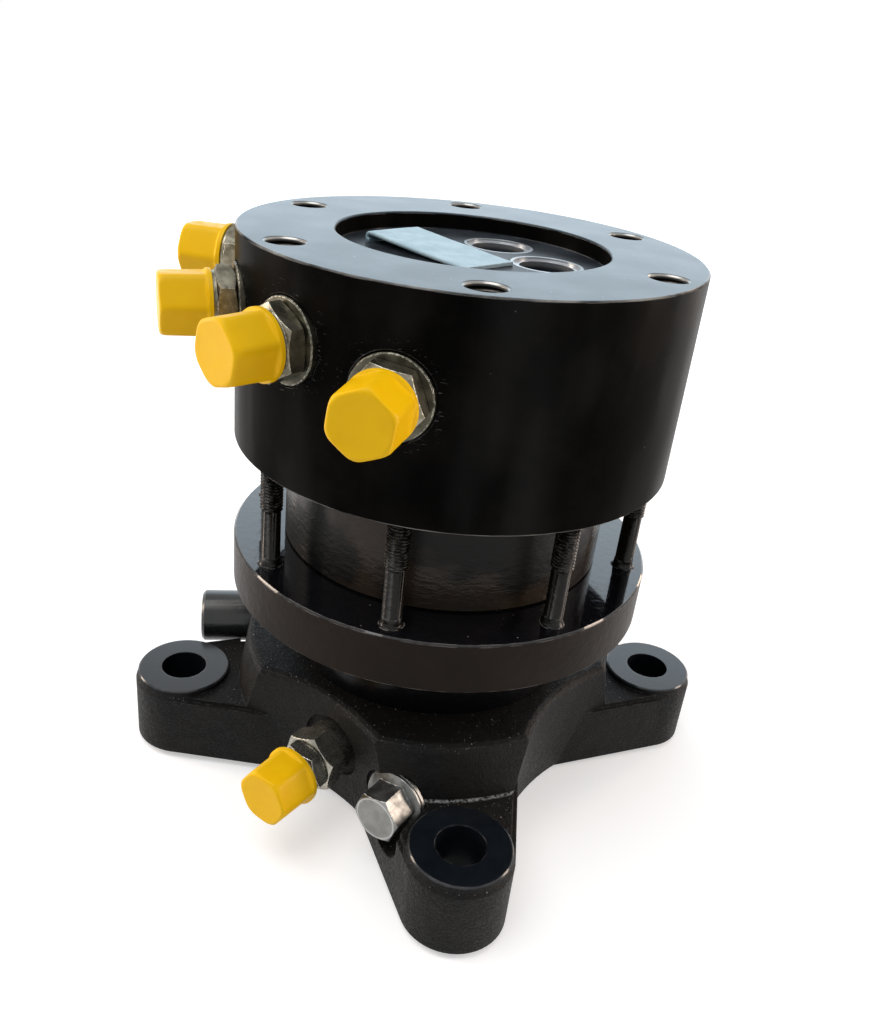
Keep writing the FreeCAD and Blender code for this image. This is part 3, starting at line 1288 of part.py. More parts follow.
HELPERS = ("stator_blank", "lower_o_ring", "upper_o_ring", "cam_opening", "cam_track")
for item in doc.Objects:
    if "Invalid" in item.State or "Error" in item.State:
        raise RuntimeError(f"{item.Name}: {item.State}")
nodes = [item for item in doc.Objects
         if item.TypeId in ("PartDesign::Body", "Part::Cut", "Part::Compound") and item.Name not in HELPERS]
os.makedirs("parts", exist_ok=True)
for node in nodes:
    if node.Shape.isNull() or not node.Shape.isValid():
        raise RuntimeError(f"{node.Label}: shape is empty or not valid")
    if not node.Shape.Solids:
        raise RuntimeError(f"{node.Label}: no solid")
for node in nodes:
    node.Shape.exportStep(f"parts/{node.Label}.step")
    print(node.Label, len(node.Shape.Solids), round(node.Shape.Volume / 1000, 2), "cm3")
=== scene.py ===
import math

import bmesh
import bpy
from mathutils import Matrix, Vector, noise


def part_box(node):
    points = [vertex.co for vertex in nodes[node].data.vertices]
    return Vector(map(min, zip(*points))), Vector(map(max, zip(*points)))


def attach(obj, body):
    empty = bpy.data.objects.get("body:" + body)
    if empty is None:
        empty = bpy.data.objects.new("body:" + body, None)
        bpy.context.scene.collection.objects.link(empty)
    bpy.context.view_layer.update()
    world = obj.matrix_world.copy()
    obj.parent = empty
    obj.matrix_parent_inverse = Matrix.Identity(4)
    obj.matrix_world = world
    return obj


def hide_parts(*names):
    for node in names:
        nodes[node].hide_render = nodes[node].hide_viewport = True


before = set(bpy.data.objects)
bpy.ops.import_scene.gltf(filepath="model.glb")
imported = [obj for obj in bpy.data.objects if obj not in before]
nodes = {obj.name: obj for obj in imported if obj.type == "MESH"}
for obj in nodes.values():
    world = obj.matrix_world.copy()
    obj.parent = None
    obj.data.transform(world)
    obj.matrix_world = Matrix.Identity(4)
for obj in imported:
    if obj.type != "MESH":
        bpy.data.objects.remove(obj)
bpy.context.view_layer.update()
MM = 0.001


# The camera.
# It stands where the photograph was taken: a little above the head, close, and rolled to one side.
# The place was found from the circles of the head, the flange and the lugs.
image_height = 1024
focal_pixels = 940.2
sensor_size = 36.0
camera_distance = 461.6 * MM
camera_elevation = math.radians(26.657)
camera_turn = math.radians(-10.88)
camera_roll = math.radians(6.547)
camera_pan = math.radians(-0.304)
aim = Vector((0, 0, 131.8 * MM))
back = Vector((0, -math.cos(camera_elevation), math.sin(camera_elevation)))
right = Vector((1, 0, 0))
upward = back.cross(right)
forward = -back * math.cos(camera_pan) + right * math.sin(camera_pan)
sideways = right * math.cos(camera_pan) + back * math.sin(camera_pan)
rolled_right = sideways * math.cos(camera_roll) + upward * math.sin(camera_roll)
rolled_up = -sideways * math.sin(camera_roll) + upward * math.cos(camera_roll)
turn_about_shaft = Matrix.Rotation(camera_turn, 3, "Z")
camera_axes = Matrix((rolled_right, rolled_up, -forward)).transposed()
camera_data = bpy.data.cameras.new("camera")
camera_data.lens = sensor_size * focal_pixels / image_height
camera_data.sensor_width = sensor_size
camera_data.sensor_fit = "AUTO"
camera_data.clip_start = 0.01
camera = bpy.data.objects.new("camera", camera_data)
camera.matrix_world = Matrix.Translation(turn_about_shaft @ (aim + back * camera_distance)) @ (
    turn_about_shaft @ camera_axes
).to_4x4()
bpy.context.scene.collection.objects.link(camera)
bpy.context.scene.camera = camera
bpy.context.scene.view_settings.view_transform = "Standard"


# Floor and backdrop.
# A plain white studio floor that keeps the object's soft shadow, under a plain white surround. Both are white
# where they are seen, straight or in the gloss, and the floor glows more further out to hide its far edge.
def put(tree, kind, inputs=None, **settings):
    """Add a node, set its own properties, and fill or link its inputs."""
    node = tree.nodes.new(kind)
    for name, value in settings.items():
        setattr(node, name, value)
    for socket, value in (inputs or {}).items():
        if isinstance(value, bpy.types.NodeSocket):
            tree.links.new(value, node.inputs[socket])
        else:
            node.inputs[socket].default_value = value
    return node


def maths(tree, operation, *values):
    """One sum with one, two or three values, each a number or a socket."""
    return put(tree, "ShaderNodeMath", dict(enumerate(values)), operation=operation).outputs[0]


def seen_directly(tree):
    """1 for what the camera sees straight, in a reflection or through glass."""
    path = put(tree, "ShaderNodeLightPath").outputs
    seen = maths(tree, "MAXIMUM", path["Is Camera Ray"], path["Is Glossy Ray"])
    return maths(tree, "MAXIMUM", seen, path["Is Transmission Ray"])


floor_size = 12
floor_drop = 0.4 * MM
floor_material = bpy.data.materials.new("studio_floor")
floor_material.use_nodes = True
tree = floor_material.node_tree
shade = tree.nodes["Principled BSDF"]
shade.inputs["Base Color"].default_value = (0.80, 0.80, 0.80, 1)
shade.inputs["Roughness"].default_value = 0.9
shade.inputs["Specular IOR Level"].default_value = 0
place = put(tree, "ShaderNodeTexCoord").outputs["Object"]
away = put(tree, "ShaderNodeVectorMath", {0: place}, operation="LENGTH").outputs["Value"]
fading = put(tree, "ShaderNodeMapRange", {
    "Value": away, "From Min": 0.35, "From Max": 1.2, "To Min": 0.42, "To Max": 0.85})
strength = maths(tree, "MULTIPLY", seen_directly(tree), fading.outputs[0])
glow = put(tree, "ShaderNodeEmission", {"Color": (1, 1, 1, 1), "Strength": strength})
both = put(tree, "ShaderNodeAddShader", {0: shade.outputs[0], 1: glow.outputs[0]})
tree.links.new(both.outputs[0], tree.nodes["Material Output"].inputs["Surface"])
bpy.ops.mesh.primitive_plane_add(size=floor_size, location=(0, 0, -floor_drop))
floor = bpy.context.object
floor.name = "studio_floor"
floor.data.materials.append(floor_material)

surround_light = 0.45
world = bpy.data.worlds.new("studio")
world.use_nodes = True
bpy.context.scene.world = world
tree = world.node_tree
surround = tree.nodes["Background"]
surround.inputs["Color"].default_value = (0.90, 0.94, 1.0, 1)
surround.inputs["Strength"].default_value = surround_light
white = put(tree, "ShaderNodeBackground", {"Color": (1, 1, 1, 1), "Strength": 1.0})
choice = put(tree, "ShaderNodeMixShader", {
    0: seen_directly(tree), 1: surround.outputs[0], 2: white.outputs[0]})
tree.links.new(choice.outputs[0], tree.nodes["World Output"].inputs["Surface"])


# Studio lamps.
# A wide soft lamp overhead, a long cool one low behind like a window, and tall warm ones at the sides that
# run a soft streak down the turned head. The gloss shows them, the camera doesn't.
for name, azimuth, elevation, distance, size, power, colour in (
    ("overhead_lamp", 200, 70, 1.7, (1.2, 1.2), 15, (1.0, 1.0, 1.0)),
    ("window_lamp", 79, 17, 1.6, (2.2, 0.95), 7.2, (0.57, 0.81, 1.0)),
    ("left_lamp", 163, 12, 1.4, (0.30, 0.9), 11, (1.0, 0.82, 0.68)),
    ("right_lamp", -8, 12, 1.4, (0.30, 0.9), 11, (1.0, 0.80, 0.66)),
    ("right_edge_lamp", 30, 12, 1.4, (0.18, 0.9), 3, (1.0, 0.76, 0.58)),
):
    lamp = bpy.data.lights.new(name, "AREA")
    lamp.shape = "RECTANGLE"
    lamp.size, lamp.size_y = size
    lamp.energy = power
    lamp.color = colour
    holder = bpy.data.objects.new(name, lamp)
    turn, rise = math.radians(azimuth), math.radians(elevation)
    towards = Vector((math.cos(turn) * math.cos(rise), math.sin(turn) * math.cos(rise), math.sin(rise)))
    holder.location = aim + towards * distance
    holder.rotation_euler = towards.to_track_quat("Z", "Y").to_euler()
    holder.visible_camera = False
    bpy.context.scene.collection.objects.link(holder)


# The foot.
# A heavy four-armed steel casting, shot-blasted and painted black. Only the ring round each lug hole and the
# seat of the shaft are machined, so the paint is smooth there, and dust has settled on the rough shoulders.
def new_group(name, inputs, outputs):
    """An empty shader group with named sockets; returns it with its input and output ends."""
    group = bpy.data.node_groups.new(name, "ShaderNodeTree")
    for label, value in inputs:
        kind = "NodeSocketFloat" if isinstance(value, (int, float)) else "NodeSocketVector"
        group.interface.new_socket(label, in_out="INPUT", socket_type=kind).default_value = value
    for label in outputs:
        group.interface.new_socket(label, in_out="OUTPUT", socket_type="NodeSocketFloat")
    return group, group.nodes.new("NodeGroupInput").outputs, group.nodes.new("NodeGroupOutput").inputs


def ramp(tree, value, low, high):
    """0 below low and 1 above high, or the other way round where high is the smaller; smooth between."""
    return put(tree, "ShaderNodeMapRange", {"Value": value, "From Min": low, "From Max": high},
               interpolation_type="SMOOTHSTEP").outputs[0]


def near(tree, value, centre, outer, inner):
    """1 within the inner distance of the centre, 0 beyond the outer one; smooth between."""
    return ramp(tree, maths(tree, "ABSOLUTE", maths(tree, "SUBTRACT", value, centre)), outer, inner)


def hypotenuse(tree, first, second):
    """Length of the slope over two sides at right angles, such as the distance from the shaft's axis."""
    squares = [maths(tree, "MULTIPLY", side, side) for side in (first, second)]
    return maths(tree, "SQRT", maths(tree, "ADD", *squares))


def grain(tree, place, size, detail=2.0, roughness=0.5):
    """Noise whose lumps are about that size, in metres."""
    return put(tree, "ShaderNodeTexNoise", {"Vector": place, "Scale": 1 / size, "Detail": detail,
                                            "Roughness": roughness}).outputs["Fac"]


# Shot-blasted skin: pits on top of slow waves.
cast_skin, given, made = new_group("cast_skin", [
    ("Place", (0, 0, 0)), ("Pit Size", 0.001)], ["Height", "Tone"])
tree = cast_skin
pit_scale = maths(tree, "DIVIDE", 1.0, given["Pit Size"])
pits = put(tree, "ShaderNodeTexNoise", {
    "Vector": given["Place"], "Scale": pit_scale, "Detail": 3.0, "Roughness": 0.6}).outputs["Fac"]
waves = put(tree, "ShaderNodeTexNoise", {
    "Vector": given["Place"], "Scale": maths(tree, "DIVIDE", pit_scale, 9.0), "Detail": 2.0}).outputs["Fac"]
tree.links.new(maths(tree, "MULTIPLY_ADD", waves, 1.6, pits), made["Height"])
tree.links.new(ramp(tree, pits, 0.35, 0.68), made["Tone"])

# Settled dust: small specks, only where the surface looks up.
settled_dust, given, made = new_group("settled_dust", [
    ("Place", (0, 0, 0)), ("Speck Size", 0.002), ("Amount", 0.2)], ["Mask"])
tree = settled_dust
specks = put(tree, "ShaderNodeTexVoronoi", {
    "Vector": given["Place"], "Scale": maths(tree, "DIVIDE", 1.0, given["Speck Size"])}).outputs
draw = put(tree, "ShaderNodeSeparateColor", {0: specks["Color"]}).outputs[0]
chosen = maths(tree, "LESS_THAN", draw, given["Amount"])
round_speck = ramp(tree, specks["Distance"], 0.22, 0.10)
normal = put(tree, "ShaderNodeNewGeometry").outputs["Normal"]
looking_up = put(tree, "ShaderNodeSeparateXYZ", {0: normal}).outputs["Z"]
lying = maths(tree, "MULTIPLY", chosen, round_speck)
tree.links.new(maths(tree, "MULTIPLY", lying, ramp(tree, looking_up, 0.05, 0.6)), made["Mask"])

# Worn edges: where the surface turns sharply, broken up by grain.
worn_edges, given, made = new_group("worn_edges", [
    ("Place", (0, 0, 0)), ("Width", 0.0006), ("Break Size", 0.004)], ["Mask"])
tree = worn_edges
softened = put(tree, "ShaderNodeBevel", {"Radius": given["Width"]}, samples=4).outputs[0]
plain = put(tree, "ShaderNodeNewGeometry").outputs["Normal"]
alike = put(tree, "ShaderNodeVectorMath", {0: softened, 1: plain}, operation="DOT_PRODUCT").outputs["Value"]
breaks = put(tree, "ShaderNodeTexNoise", {
    "Vector": given["Place"], "Scale": maths(tree, "DIVIDE", 1.0, given["Break Size"])}).outputs["Fac"]
worn = maths(tree, "MULTIPLY", ramp(tree, alike, 0.985, 0.90), ramp(tree, breaks, 0.42, 0.6))
tree.links.new(worn, made["Mask"])

# Distance from the nearest of some holes on a circle round the shaft.
hole_circle, given, made = new_group("hole_circle", [
    ("Place", (0, 0, 0)), ("Count", 4.0), ("First Turn", 0.0), ("Circle Radius", 0.1)], ["Distance"])
tree = hole_circle
x, y = put(tree, "ShaderNodeSeparateXYZ", {0: given["Place"]}).outputs[:2]
half_step = maths(tree, "DIVIDE", math.pi, given["Count"])
bearing = maths(tree, "SUBTRACT", maths(tree, "ARCTAN2", y, x), maths(tree, "RADIANS", given["First Turn"]))
bearing = maths(tree, "WRAP", bearing, half_step, maths(tree, "MULTIPLY", half_step, -1.0))
reach = hypotenuse(tree, x, y)
along = maths(tree, "SUBTRACT", maths(tree, "MULTIPLY", reach, maths(tree, "COSINE", bearing)),
              given["Circle Radius"])
across = maths(tree, "MULTIPLY", reach, maths(tree, "SINE", bearing))
tree.links.new(hypotenuse(tree, along, across), made["Distance"])


def from_group(tree, group, **inputs):
    """Place a shader group; its inputs are given by their names, with underscores for spaces."""
    node = tree.nodes.new("ShaderNodeGroup")
    node.node_tree = group
    for name, value in inputs.items():
        socket = node.inputs[name.replace("_", " ").title()]
        if isinstance(value, bpy.types.NodeSocket):
            tree.links.new(value, socket)
        else:
            socket.default_value = value
    return node.outputs


def dust_mask(tree, place, speck_size, amount):
    """Where dust has settled: the size of its specks and the share of them that lies there."""
    return from_group(tree, settled_dust, place=place, speck_size=speck_size, amount=amount)["Mask"]


def wear_mask(tree, place, width, break_size):
    """Where edges are worn: the width of the wear and the size of the breaks in it."""
    return from_group(tree, worn_edges, place=place, width=width, break_size=break_size)["Mask"]


def new_finish(name, **numbers):
    """A material with one Principled shader, whose plain sockets the numbers fill."""
    material = bpy.data.materials.new(name)
    material.use_nodes = True
    tree = material.node_tree
    shader = tree.nodes["Principled BSDF"]
    for label, value in numbers.items():
        shader.inputs[label.replace("_", " ")].default_value = value
    place = put(tree, "ShaderNodeTexCoord").outputs["Object"]
    return material, tree, shader, place


def colours(tree, mask, first, second):
    """The first colour where the mask is 0 and the second where it is 1; each a colour or a socket."""
    inputs = {0: mask}
    for socket, value in ((6, first), (7, second)):
        inputs[socket] = value if isinstance(value, bpy.types.NodeSocket) else (*value, 1)
    return put(tree, "ShaderNodeMix", inputs, data_type="RGBA").outputs[2]


def tinted(tree, colour, mask, share, tint):
    """The colour, with that share of the tint over it where the mask is 1."""
    return colours(tree, maths(tree, "MULTIPLY", mask, share), colour, tint)


def between(tree, mask, first, second):
    """A plain number: the first where the mask is 0 and the second where it is 1."""
    return put(tree, "ShaderNodeMix", {0: mask, 2: first, 3: second}).outputs[0]


def surface(tree, shader, colour, roughness):
    """Link a finish's patterns of colour and roughness."""
    tree.links.new(colour, shader.inputs["Base Color"])
    tree.links.new(roughness, shader.inputs["Roughness"])


def relief(tree, shader, height, depth, edge=None):
    """Bump of that depth in metres, on edges softened by a small radius."""
    inputs = {"Height": height, "Distance": depth, "Strength": 1.0}
    if edge:
        inputs["Normal"] = put(tree, "ShaderNodeBevel", {"Radius": edge}, samples=4).outputs[0]
    tree.links.new(put(tree, "ShaderNodeBump", inputs).outputs[0], shader.inputs["Normal"])


def paint_on(node_names, material):
    """Give CAD nodes a finish through their own material slots."""
    for name in node_names:
        for slot in nodes[name].material_slots:
            slot.material = material


lug_count = 4
lug_circle_radius = 125 * MM
lug_boss_radius = 22.5 * MM
lug_hole_radius = 11 * MM
lug_boss_top = 40 * MM
crease_height = 37.3 * MM
crease_reach = 95.5 * MM
front_arm_start = -60 * MM
front_arm_dusty = -78 * MM
foot_paint, tree, shader, place = new_finish("foot_paint", Specular_IOR_Level=0.13, Coat_Roughness=0.16)
skin = from_group(tree, cast_skin, place=place, pit_size=1.1 * MM)
x, y, z = put(tree, "ShaderNodeSeparateXYZ", {0: place}).outputs
from_lug = from_group(tree, hole_circle, place=place, count=lug_count, first_turn=0.0,
                      circle_radius=lug_circle_radius)["Distance"]
on_boss = maths(tree, "MULTIPLY", ramp(tree, from_lug, lug_boss_radius + 0.4 * MM, lug_boss_radius),
                ramp(tree, z, lug_boss_top - 0.9 * MM, lug_boss_top - 0.3 * MM))
in_hole = ramp(tree, from_lug, lug_hole_radius + 0.3 * MM, lug_hole_radius)
machined = maths(tree, "MAXIMUM", on_boss, in_hole)
dust = maths(tree, "MAXIMUM", dust_mask(tree, place, 1.5 * MM, 0.05), dust_mask(tree, place, 0.8 * MM, 0.12))
dust = maths(tree, "MULTIPLY", dust, maths(tree, "SUBTRACT", 1.0, machined))

# A light, broken line runs along the crease where the front arm meets the hub.
crease = maths(tree, "MULTIPLY", near(tree, z, crease_height, 0.8 * MM, 0.3 * MM),
               near(tree, hypotenuse(tree, x, y), crease_reach, 3.0 * MM, 1.5 * MM))
crease = maths(tree, "MULTIPLY", crease, ramp(tree, grain(tree, place, 1.4 * MM, 3.0), 0.35, 0.62))
crease = maths(tree, "MULTIPLY", crease, ramp(tree, y, front_arm_start, front_arm_dusty))
dust = maths(tree, "MAXIMUM", dust, maths(tree, "MULTIPLY", crease, 0.8))
worn = wear_mask(tree, place, 0.7 * MM, 5 * MM)
patches = ramp(tree, grain(tree, place, 38 * MM), 0.40, 0.66)
cast_colour = colours(tree, skin["Tone"], (0.0014, 0.0014, 0.0015), (0.0066, 0.0067, 0.0070))
cast_colour = colours(tree, patches, cast_colour, (0.0070, 0.0060, 0.0050))
# The machined rings get a blue-grey tint over the black: a painted reflection of the sky in their smooth
# paint.
boss_paint_and_painted_sky = colours(tree, grain(tree, place, 6 * MM), (0.003, 0.004, 0.0055), (0.008, 0.011, 0.015))
colour = colours(tree, machined, cast_colour, boss_paint_and_painted_sky)
colour = tinted(tree, colour, worn, 0.45, (0.13, 0.13, 0.13))
colour = tinted(tree, colour, dust, 0.75, (0.55, 0.56, 0.56))
surface(tree, shader, colour, between(tree, machined, between(tree, skin["Tone"], 0.62, 0.40), 0.22))
tree.links.new(maths(tree, "MULTIPLY", on_boss, 0.75), shader.inputs["Coat Weight"])
height = maths(tree, "MULTIPLY", skin["Height"], between(tree, machined, 1.0, 0.06))
relief(tree, shader, height, 0.55 * MM, edge=1.2 * MM)
paint_on(["spider"], foot_paint)


# The shaft and what turns on it.
# A turned steel shaft, held to the foot by screws; its thick neck shows and is painted black with the foot.
# Screws, nut, pins and keys are plain steel dark with oil, and rotor, vanes and bearings are ground bright.
def ground_finish(name, low, high, roughness, line_size):
    """Bare turned or ground steel: fine lines round the shaft and slow stains."""
    material, tree, shader, place = new_finish(name, Metallic=1.0)
    x, y, z = put(tree, "ShaderNodeSeparateXYZ", {0: place}).outputs
    rings = put(tree, "ShaderNodeCombineXYZ", {0: hypotenuse(tree, x, y), 1: z}).outputs[0]
    lines = grain(tree, rings, line_size, 1.0)
    stains = ramp(tree, grain(tree, place, 12 * MM, 3.0), 0.35, 0.7)
    surface(tree, shader, colours(tree, stains, low, high), between(tree, lines, roughness, roughness + 0.18))
    relief(tree, shader, lines, 0.02 * MM, edge=0.3 * MM)
    return material


ground_steel = ground_finish("ground_steel", (0.50, 0.49, 0.47), (0.36, 0.35, 0.34), 0.22, 0.25 * MM)
oiled_steel = ground_finish("oiled_steel", (0.16, 0.15, 0.14), (0.10, 0.095, 0.09), 0.30, 0.4 * MM)
neck_paint, tree, shader, place = new_finish("neck_paint", Specular_IOR_Level=0.15)
lumps = grain(tree, place, 3 * MM)
surface(tree, shader, colours(tree, lumps, (0.0015, 0.0015, 0.0018), (0.004, 0.004, 0.005)),
        between(tree, lumps, 0.16, 0.30))
relief(tree, shader, lumps, 0.10 * MM, edge=0.5 * MM)
paint_on(["rotor_shaft"], neck_paint)
paint_on(["shaft_nut", "shaft_bolts", "dowel_pins", "rotor_keys"], oiled_steel)
paint_on(["vane_rotor", "vanes", "vane_springs", "lower_bearing_balls", "lower_bearing_inner_race",
          "lower_bearing_outer_race", "upper_bearing_rollers", "upper_bearing_inner_race",
          "upper_bearing_outer_race"], ground_steel)


# Seals.
# Black nitrile rings in the flange and the stator ring, and amber polyurethane rings in the head's bore. All
# are moulded, and their grooves hold them.
def seal_finish(name, low, high):
    """A dull moulded ring with a faint bloom on it."""
    material, tree, shader, place = new_finish(name, Specular_IOR_Level=0.35, Roughness=0.55)
    bloom = grain(tree, place, 2 * MM, 3.0)
    tree.links.new(colours(tree, bloom, low, high), shader.inputs["Base Color"])
    relief(tree, shader, bloom, 0.03 * MM, edge=0.3 * MM)
    return material


seal_rubber = seal_finish("seal_rubber", (0.010, 0.010, 0.010), (0.028, 0.028, 0.028))
seal_plastic = seal_finish("seal_plastic", (0.42, 0.26, 0.06), (0.55, 0.36, 0.10))
paint_on(["stator_o_rings", "shaft_seal", "dust_wiper"], seal_rubber)
paint_on(["swivel_seals"], seal_plastic)


# The lower flange.
# A turned steel ring, brushed with a thick gloss black that stayed wet-looking on the flat top and dried
# thinner on the rim, whose brown tint is a painted warm reflection. Specks of dust lie on it.
flange_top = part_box("lower_flange")[1].z
flange_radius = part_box("lower_flange")[1].x
flange_paint, tree, shader, place = new_finish("flange_paint", Specular_IOR_Level=0.06, Coat_Roughness=0.05)
x, y, z = put(tree, "ShaderNodeSeparateXYZ", {0: place}).outputs
reach = hypotenuse(tree, x, y)
on_rim = maths(tree, "MULTIPLY", ramp(tree, reach, flange_radius - 1.2 * MM, flange_radius - 0.5 * MM),
               ramp(tree, z, flange_top - 0.3 * MM, flange_top - 0.9 * MM))
runs = grain(tree, place, 4.5 * MM)
fine = grain(tree, place, 0.7 * MM)
top_colour = colours(tree, runs, (0.002, 0.002, 0.003), (0.006, 0.006, 0.008))
# The rim's brown is painted: a warm reflection of the surroundings, put into the paint's colour.
rim_paint_and_painted_warm_reflection = colours(tree, grain(tree, place, 24 * MM, 3.0), (0.008, 0.0060, 0.0045), (0.022, 0.0155, 0.0112))
colour = colours(tree, on_rim, top_colour, rim_paint_and_painted_warm_reflection)
dust = dust_mask(tree, place, 1.6 * MM, 0.03)
worn = wear_mask(tree, place, 0.5 * MM, 9 * MM)
colour = tinted(tree, colour, worn, 0.85, (0.30, 0.28, 0.25))
colour = tinted(tree, colour, dust, 0.6, (0.50, 0.50, 0.50))
surface(tree, shader, colour, between(tree, on_rim, between(tree, runs, 0.06, 0.16),
                                      between(tree, fine, 0.30, 0.46)))
tree.links.new(maths(tree, "SUBTRACT", 1.0, on_rim), shader.inputs["Coat Weight"])
height = maths(tree, "MULTIPLY_ADD", fine, between(tree, on_rim, 0.05, 0.30), runs)
relief(tree, shader, height, 0.22 * MM, edge=0.5 * MM)
paint_on(["lower_flange"], flange_paint)


# The stator ring.
# The motor's steel ring, clamped between flange and head. It was painted by brush after assembly, so the
# gloss coat is lumpy and its reflections crumple. Broad brown patches in its colour are painted reflections.
def stretched(tree, place, factor):
    """Places with their height multiplied: above 1 grain lies flat on them, below 1 it runs upwards."""
    return put(tree, "ShaderNodeMapping", {0: place, 3: (1.0, 1.0, factor)}).outputs[0]


stack_paint, tree, shader, place = new_finish("stack_paint", Specular_IOR_Level=0.16)
lumps = grain(tree, stretched(tree, place, 2.6), 5.5 * MM, 3.0, 0.6)
# Where the coat is glossiest, a brown patch is painted in: a painted reflection of the warm floor.
glossy_with_painted_reflection = ramp(tree, grain(tree, place, 30 * MM), 0.40, 0.58)
surface(tree, shader, colours(tree, glossy_with_painted_reflection, (0.0028, 0.0024, 0.0021), (0.032, 0.023, 0.016)),
        between(tree, glossy_with_painted_reflection, 0.42, 0.12))
relief(tree, shader, lumps, 0.40 * MM, edge=0.6 * MM)
paint_on(["stator_ring"], stack_paint)


# The distributor head.
# A thick turned steel block in black paint, satin on the side. Six tapped holes and the oil ports are cut
# through the paint, so their rims are bright; spanners have scuffed the paint round the side fittings.
def distance_from(tree, place, spot):
    """Distance of each place from one fixed spot."""
    return put(tree, "ShaderNodeVectorMath", {0: place, 1: spot}, operation="DISTANCE").outputs["Value"]


head_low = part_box("distributor_head")[0].z
head_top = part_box("distributor_head")[1].z
head_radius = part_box("distributor_head")[1].x
recess_floor = head_top - 7.5 * MM
recess_radius = 59 * MM
recess_finish_end = head_top - 30 * MM
recess_finish_full = head_top - 20 * MM
tapped_hole_count = 6
tapped_hole_turn = 23.2
tapped_circle_radius = 86.5 * MM
tapped_hole_radius = 7.8 * MM
oil_port_reach = 32.6 * MM
oil_port_spread = 35.0
oil_port_radius = 12 * MM
oil_port_edge = 2.6 * MM
head_paint, tree, shader, place = new_finish("head_paint", Specular_IOR_Level=0.008, Coat_Roughness=0.22)
x, y, z = put(tree, "ShaderNodeSeparateXYZ", {0: place}).outputs
reach = hypotenuse(tree, x, y)
rings = put(tree, "ShaderNodeCombineXYZ", {0: reach, 1: z}).outputs[0]
tool_marks = grain(tree, rings, 0.45 * MM, 1.0)
mottle = grain(tree, place, 26 * MM, 4.0, 0.6)
fine = grain(tree, place, 0.9 * MM)
on_top = maths(tree, "MULTIPLY", ramp(tree, z, head_top - 0.8 * MM, head_top - 0.2 * MM),
               ramp(tree, reach, head_radius - 0.2 * MM, head_radius - 0.8 * MM))
in_recess = maths(tree, "MULTIPLY", ramp(tree, reach, recess_radius + 0.6 * MM, recess_radius - 0.4 * MM),
                  ramp(tree, z, recess_finish_end, recess_finish_full))
on_floor = maths(tree, "MULTIPLY", in_recess,
                 ramp(tree, z, recess_floor + 0.6 * MM, recess_floor + 0.2 * MM))
cloudy = ramp(tree, mottle, 0.35, 0.7)
side_colour = colours(tree, cloudy, (0.0020, 0.0019, 0.0018), (0.0056, 0.0048, 0.0042))
# The top and the recess floor are blue-grey, lighter than the side: a painted reflection of the sky over the
# black paint.
top_colour = colours(tree, cloudy, (0.030, 0.050, 0.065), (0.050, 0.074, 0.092))
recess_floor_painted_sky = colours(tree, ramp(tree, mottle, 0.4, 0.6), (0.016, 0.019, 0.023), (0.034, 0.041, 0.049))
colour = colours(tree, on_top, side_colour, top_colour)
colour = colours(tree, on_floor, colour, recess_floor_painted_sky)

# Bright cut metal: the oil ports' bevels and the mouths of the tapped holes. A light, broken line also runs
# round the block's top and bottom outer edges.
port_distances = []
for side in (-1, 1):
    angle = math.radians(tapped_hole_turn + side * oil_port_spread)
    centre = (oil_port_reach * math.cos(angle), oil_port_reach * math.sin(angle), 0)
    flat = put(tree, "ShaderNodeCombineXYZ", {0: x, 1: y}).outputs[0]
    port_distances.append(distance_from(tree, flat, centre))
from_port = maths(tree, "MINIMUM", *port_distances)
bevel_reach = oil_port_radius + oil_port_edge
port_rim = maths(tree, "MULTIPLY", in_recess,
                 ramp(tree, from_port, bevel_reach + 1.5 * MM, bevel_reach + 1.1 * MM))
port_rim = maths(tree, "MULTIPLY", port_rim, ramp(tree, z, recess_floor - 4.5 * MM, recess_floor - 1.4 * MM))
from_tapped = from_group(tree, hole_circle, place=place, count=tapped_hole_count, first_turn=tapped_hole_turn,
                         circle_radius=tapped_circle_radius)["Distance"]
near_top = ramp(tree, z, head_top - 2.0 * MM, head_top - 0.5 * MM)
tapped_rim = maths(tree, "MULTIPLY", near_top, ramp(tree, from_tapped, tapped_hole_radius + 0.75 * MM,
                                                    tapped_hole_radius + 0.55 * MM))
bare = maths(tree, "MAXIMUM", port_rim, tapped_rim)
worn = wear_mask(tree, place, 0.45 * MM, 14 * MM)
outer_edge = maths(tree, "MULTIPLY", ramp(tree, reach, head_radius - 1.0 * MM, head_radius - 0.7 * MM), maths(
    tree, "MAXIMUM", ramp(tree, z, head_low + 0.75 * MM, head_low + 0.55 * MM),
    ramp(tree, z, head_top - 0.75 * MM, head_top - 0.55 * MM)))
edge_wear_and_line = maths(tree, "MAXIMUM", maths(tree, "MULTIPLY", worn, 0.75),
                  maths(tree, "MULTIPLY", outer_edge, ramp(tree, mottle, 0.30, 0.75)))

# Scuffs in a band round each side fitting, and a few knocks elsewhere.
scuff_zone = None
for number in range(1, 5):
    low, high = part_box(f"coupling_{number}")
    middle = (low + high) / 2
    outwards = Vector((middle.x, middle.y, 0)).normalized()
    centre = outwards * head_radius + Vector((0, 0, middle.z))
    zone = ramp(tree, distance_from(tree, place, centre), 25 * MM, 17 * MM)
    scuff_zone = zone if scuff_zone is None else maths(tree, "MAXIMUM", scuff_zone, zone)
scratches = grain(tree, stretched(tree, place, 3.5), 3.2 * MM, 5.0, 0.7)
scuffs = maths(tree, "MULTIPLY", scuff_zone, ramp(tree, scratches, 0.60, 0.66))
knocks = ramp(tree, grain(tree, place, 7.5 * MM), 0.79, 0.80)
scuffs = maths(tree, "MAXIMUM", scuffs, knocks)
bright = colours(tree, port_rim, (0.30, 0.29, 0.27), (0.42, 0.44, 0.46))
metal = maths(tree, "MAXIMUM", bare, edge_wear_and_line)
colour = tinted(tree, colour, scuffs, 0.7, (0.13, 0.13, 0.14))
colour = colours(tree, metal, colour, bright)
